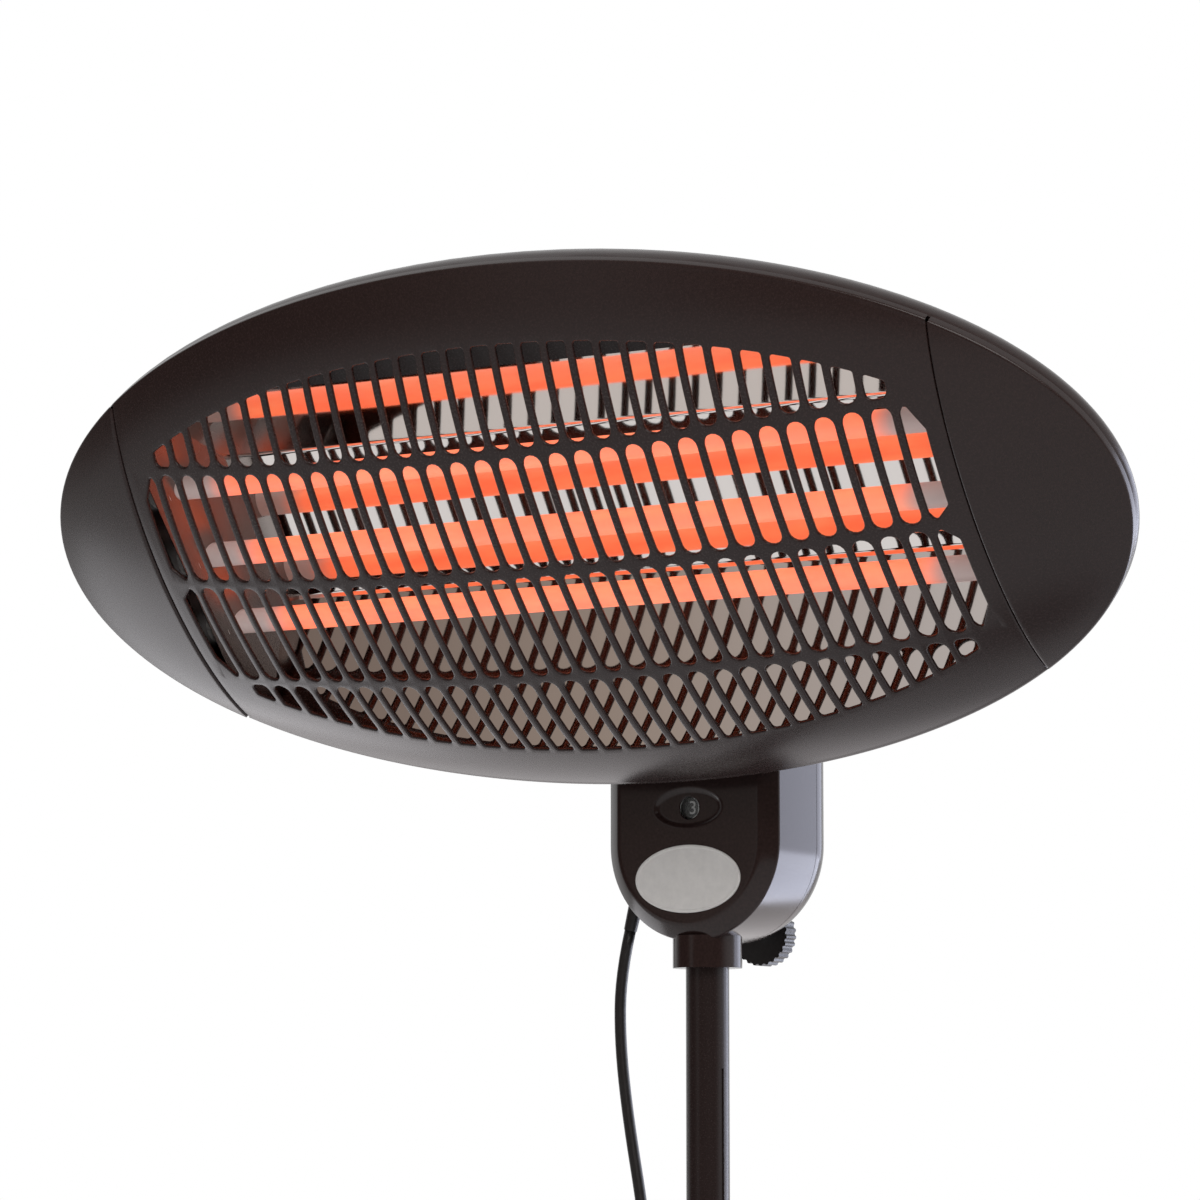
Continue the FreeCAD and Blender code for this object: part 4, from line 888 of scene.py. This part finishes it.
def make_tray_strip():
    """A painted strip between the tray's top edge and the grille."""
    depth = slope_at(TRAY_TOP)
    columns = [STRIP_HALF * step / STRIP_COLUMNS for step in range(-STRIP_COLUMNS, STRIP_COLUMNS + 1)]
    points, faces = [], []
    for x in columns:
        points.append((x, TRAY_TOP, depth))
        points.append((x, arc_height_at(x) + STRIP_OVER, depth))
    for index in range(len(columns) - 1):
        a = 2 * index
        faces.append((a, a + 2, a + 3, a + 1))
    strip = tray_piece("tray_strip", points, faces, looks["head_paint"])


# Front of the control box, with soft edges, and the bare badge on it
PANEL = -BOX_FRONT - PANEL_RISE
BOX_GAP = 0.25
LEAST_BEND = 1.0
ARC_PARTS = 48
SIDE_PARTS = 8
CORNER_PARTS = 8
DIAL_POINTS = 56
BADGE_POINTS = 72


def box_outline(inset):
    """The box's outline seen from the front, as x and height."""
    half, low = BOX_HALF - inset, RIM - BOX_ARC_DROP
    top, bend = RIM - BOX_TOP_DROP - inset, max(BOX_TOP_ROUND - inset, LEAST_BEND)
    loop = [Vector((half * math.cos(t), low - half * math.sin(t)))
            for t in (math.pi * (1 - step / ARC_PARTS) for step in range(ARC_PARTS + 1))]
    side, across = (top - bend - low) / SIDE_PARTS, 2 * (half - bend) / SIDE_PARTS
    loop.extend(Vector((half, low + side * step)) for step in range(1, SIDE_PARTS))
    loop.extend(corner_arc(half - bend, top - bend, bend, 0.0))
    loop.extend(Vector((half - bend - across * step, top)) for step in range(1, SIDE_PARTS))
    loop.extend(corner_arc(bend - half, top - bend, bend, math.pi / 2))
    loop.extend(Vector((-half, top - bend - side * step)) for step in range(1, SIDE_PARTS))
    return loop


def corner_arc(x, height, bend, start):
    turns = [start + math.pi / 2 * step / CORNER_PARTS for step in range(CORNER_PARTS + 1)]
    return [Vector((x + bend * math.cos(turn), height + bend * math.sin(turn))) for turn in turns]


# The box's section from its split to the panel, as inset and depth
BOX_SECTION = [
    (0.0, BOX_SPLIT - BOX_GAP), (0.0, -BOX_FRONT + 1.4), (0.05, -BOX_FRONT + 0.75), (0.28, -BOX_FRONT + 0.2),
    (0.75, -BOX_FRONT - 0.35), (PANEL_INSET - 1.1, PANEL + 0.95), (PANEL_INSET - 0.4, PANEL + 0.5),
    (PANEL_INSET + 0.4, PANEL + 0.14), (PANEL_INSET + 1.3, PANEL), (PANEL_INSET + 1.9, PANEL),
]
# The soft edge of the recess round the dial, as growth of its oval and share of its depth
RECESS_ROLL = [
    (1.6, 0.0), (1.0, 0.0), (0.5, 0.10), (0.0, 0.35), (-0.6, 0.65), (-1.2, 0.90), (-1.8, 1.0), (-2.3, 1.0),
]
# The edge of the window's hole, as growth of its radius and depth under the recess
WINDOW_ROLL = [(0.9, 0.0), (0.4, 0.0), (0.1, 0.12), (0.0, 0.4), (0.0, 1.5)]
# The badge's section, as inset from its edge and height above the panel
BADGE_ROLL = [
    (0.0, 0.0), (0.0, 0.45), (0.1, 0.68), (0.35, BADGE_SHEET), (1.0, BADGE_SHEET), (1.25, 0.74), (1.45, 0.58),
    (1.8, 0.55), (3.0, 0.55),
]


def make_box_front():
    dial = (0.0, RIM - DIAL_DROP)
    points, faces = [], []

    def ring(loop, y):
        first = len(points)
        points.extend(Vector((p[0], y, p[1])) for p in loop)
        return list(range(first, first + len(loop)))

    rings = [ring(box_outline(inset), y) for inset, y in BOX_SECTION]
    recess = []
    for grow, share in RECESS_ROLL:
        loop = oval(dial, DIAL_HALF[0] + grow, DIAL_HALF[1] + grow, DIAL_POINTS)
        recess.append(ring(loop, PANEL + share * DIAL_RECESS))
    window = []
    for grow, sink in WINDOW_ROLL:
        loop = oval(dial, WINDOW_RADIUS + grow, WINDOW_RADIUS + grow, DIAL_POINTS)
        window.append(ring(loop, PANEL + DIAL_RECESS + sink))
    for loops in (rings, recess, window):
        for outer, inner in zip(loops, loops[1:]):
            faces.extend(ring_faces(outer, inner))
    faces.extend(ring_faces(recess[-1], window[0]))
    flat = [(points[k].x, points[k].z) for k in rings[-1]]
    hole = [(points[k].x, points[k].z) for k in recess[0]]
    for corners in zipped(flat, hole, dial, (1, 1)):
        faces.append(tuple(rings[-1][k] if which == "outer" else recess[0][k] for which, k in corners))
    front = add_mesh("box_front_shell", [p * MM for p in points], faces, looks["box_plastic"])
    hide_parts("box_front")
    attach(front, "upper")


def make_badge():
    """A bare oval plate with a raised rim."""
    middle = (0.0, RIM - BADGE_DROP)
    points = []
    for inset, rise in BADGE_ROLL:
        for p in oval(middle, BADGE_HALF[0] - inset, BADGE_HALF[1] - inset, BADGE_POINTS):
            points.append(Vector((p.x, PANEL - rise, p.y)) * MM)
    faces = ring_rows(BADGE_POINTS, len(BADGE_ROLL))
    faces.append(tuple(range(len(points) - BADGE_POINTS, len(points))))
    badge = add_mesh("badge_oval", points, faces, looks["badge"])
    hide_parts("badge_plate")
    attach(badge, "upper")


# Studio, in metres: pale floor, white behind, a dimmer room in front, and large soft lights
WHITE = (1, 1, 1)
WORLD_GREY = (0.45, 0.45, 0.45)
ROOM_STARTS = 0.25
ROOM_FULL = -0.35
FLOOR_HALF = 6
FLOOR_WHITE = 0.6
ROOM = [
    # place from left to right, colour of the room in front of the heater
    (0.19, (0.10, 0.065, 0.055)),
    (0.24, (0.36, 0.30, 0.26)),
    (0.28, (0.62, 0.60, 0.60)),
    (0.31, (0.62, 0.60, 0.60)),
    (0.36, (0.20, 0.14, 0.12)),
]


def make_world():
    """White to the camera and through panes; reflections show white behind and a dim room in front."""
    world = bpy.data.worlds.new("studio")
    scene.world = world
    world.use_nodes = True
    tree = world.node_tree
    back = tree.nodes["Background"]
    coords = tree.nodes.new("ShaderNodeTexCoord")
    split = tree.nodes.new("ShaderNodeSeparateXYZ")
    tree.links.new(coords.outputs["Generated"], split.inputs["Vector"])
    behind = tree.nodes.new("ShaderNodeMapRange")
    behind.interpolation_type = "SMOOTHSTEP"
    set_values(behind, From_Min=ROOM_FULL, From_Max=ROOM_STARTS)
    tree.links.new(split.outputs["Y"], behind.inputs["Value"])
    aside = tree.nodes.new("ShaderNodeMapRange")
    set_values(aside, From_Min=-1.0, From_Max=1.0)
    tree.links.new(split.outputs["X"], aside.inputs["Value"])
    dim = color_ramp(tree, aside.outputs["Result"], ROOM)
    room = color_mix(tree, dim, WHITE, behind.outputs["Result"])
    path = tree.nodes.new("ShaderNodeLightPath")
    soft = color_mix(tree, WORLD_GREY, room, path.outputs["Is Glossy Ray"])
    seen = tree.nodes.new("ShaderNodeMath")
    seen.operation = "MAXIMUM"
    tree.links.new(path.outputs["Is Camera Ray"], seen.inputs[0])
    tree.links.new(path.outputs["Is Transmission Ray"], seen.inputs[1])
    shown = color_mix(tree, soft, WHITE, seen.outputs[0])
    tree.links.new(shown, back.inputs["Color"])


def pale_floor():
    """A pale floor that takes the heater's shadow, and shows nearly white in polished metal."""
    material = textured("floor_pale", (0.80, 0.80, 0.80), 0.7, 40, 0.05, shade=0.01)
    tree = material.node_tree
    path = tree.nodes.new("ShaderNodeLightPath")
    share = tree.nodes.new("ShaderNodeMath")
    share.operation = "MULTIPLY"
    share.inputs[1].default_value = FLOOR_WHITE
    tree.links.new(path.outputs["Is Glossy Ray"], share.inputs[0])
    white = tree.nodes.new("ShaderNodeEmission")
    mixed = tree.nodes.new("ShaderNodeMixShader")
    tree.links.new(share.outputs[0], mixed.inputs["Fac"])
    tree.links.new(tree.nodes["Principled BSDF"].outputs[0], mixed.inputs[1])
    tree.links.new(white.outputs[0], mixed.inputs[2])
    tree.links.new(mixed.outputs[0], tree.nodes["Material Output"].inputs["Surface"])
    return material


LIGHTS = [
    # name, place, aim, width, height, watts, colour of each light
    ("light_key", (1.2, -1.5, 3.1), (0.0, -0.1, 1.6), 1.4, 1.4, 30, (1.0, 0.97, 0.95)),
    ("light_left", (-2.05, 0.35, 0.48), (-0.25, -0.12, 1.72), 1.6, 0.9, 10, (0.97, 0.96, 1.0)),
    ("light_under", (-0.55, 1.25, 0.55), (0.0, -0.12, 1.62), 2.6, 1.2, 10, (1.0, 0.93, 0.94)),
    ("light_right", (1.1, 1.95, 2.0), (0.0, 0.0, 1.68), 1.7, 1.0, 17, (0.74, 0.79, 1.0)),
    ("light_low", (1.2, 1.9, 0.85), (0.0, 0.0, 1.65), 1.3, 1.4, 43, (0.78, 0.82, 1.0)),
]


def make_studio():
    make_world()
    corners = [(x * FLOOR_HALF, y * FLOOR_HALF, 0) for x, y in ((-1, -1), (1, -1), (1, 1), (-1, 1))]
    floor = add_mesh("floor", corners, [(0, 1, 2, 3)], pale_floor(), False)
    for name, place, aim, width, height, watts, color in LIGHTS:
        data = bpy.data.lights.new(name, "AREA")
        data.shape = "RECTANGLE"
        data.size = width
        data.size_y = height
        data.energy = watts
        data.color = color
        lamp = bpy.data.objects.new(name, data)
        lamp.location = place
        lamp.rotation_euler = (Vector(aim) - Vector(place)).to_track_quat("-Z", "Y").to_euler()
        lamp.visible_camera = False
        scene.collection.objects.link(lamp)


# Numerals on the dial's wheel
NUMERALS = ("3", "0", "1", "2")
NUMERAL_SIZE = 8.6
NUMERAL_RING = 10
NUMERAL_LIFT = 0.08
NUMERAL_RISE = 0.05


def make_numerals():
    axis = Vector((0, -WHEEL_FRONT, RIM - WHEEL_DROP))
    for index, digit in enumerate(NUMERALS):
        text = bpy.data.curves.new("numeral_" + digit, "FONT")
        text.body = digit
        text.size = NUMERAL_SIZE * MM
        text.align_x = "CENTER"
        text.align_y = "CENTER"
        text.extrude = NUMERAL_RISE * MM
        holder = bpy.data.objects.new("numeral_" + digit, text)
        scene.collection.objects.link(holder)
        mesh = bpy.data.meshes.new_from_object(holder)
        bpy.data.objects.remove(holder)
        turn = Matrix.Rotation(math.tau * index / len(NUMERALS), 4, "Y")
        place = Matrix.Translation((axis + Vector((0, -NUMERAL_LIFT, 0))) * MM) @ turn
        upright = Matrix.Rotation(math.radians(90), 4, "X")
        place = place @ Matrix.Translation((0, 0, NUMERAL_RING * MM)) @ upright
        mesh.transform(place)
        mesh.materials.append(numeral_ink)
        piece = bpy.data.objects.new("numeral_" + digit, mesh)
        scene.collection.objects.link(piece)
        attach(piece, "wheel")


SIDES = (("left", -1), ("right", 1))
make_camera()
make_lead()
make_grille()
for side, across in SIDES:
    make_cap(side, across)
make_tray()
for side, across in SIDES:
    make_tray_end(side, across)
for side, across in SIDES:
    make_tube_bracket(side, across)
make_tray_strip()
make_box_front()
make_badge()
make_numerals()
make_studio()
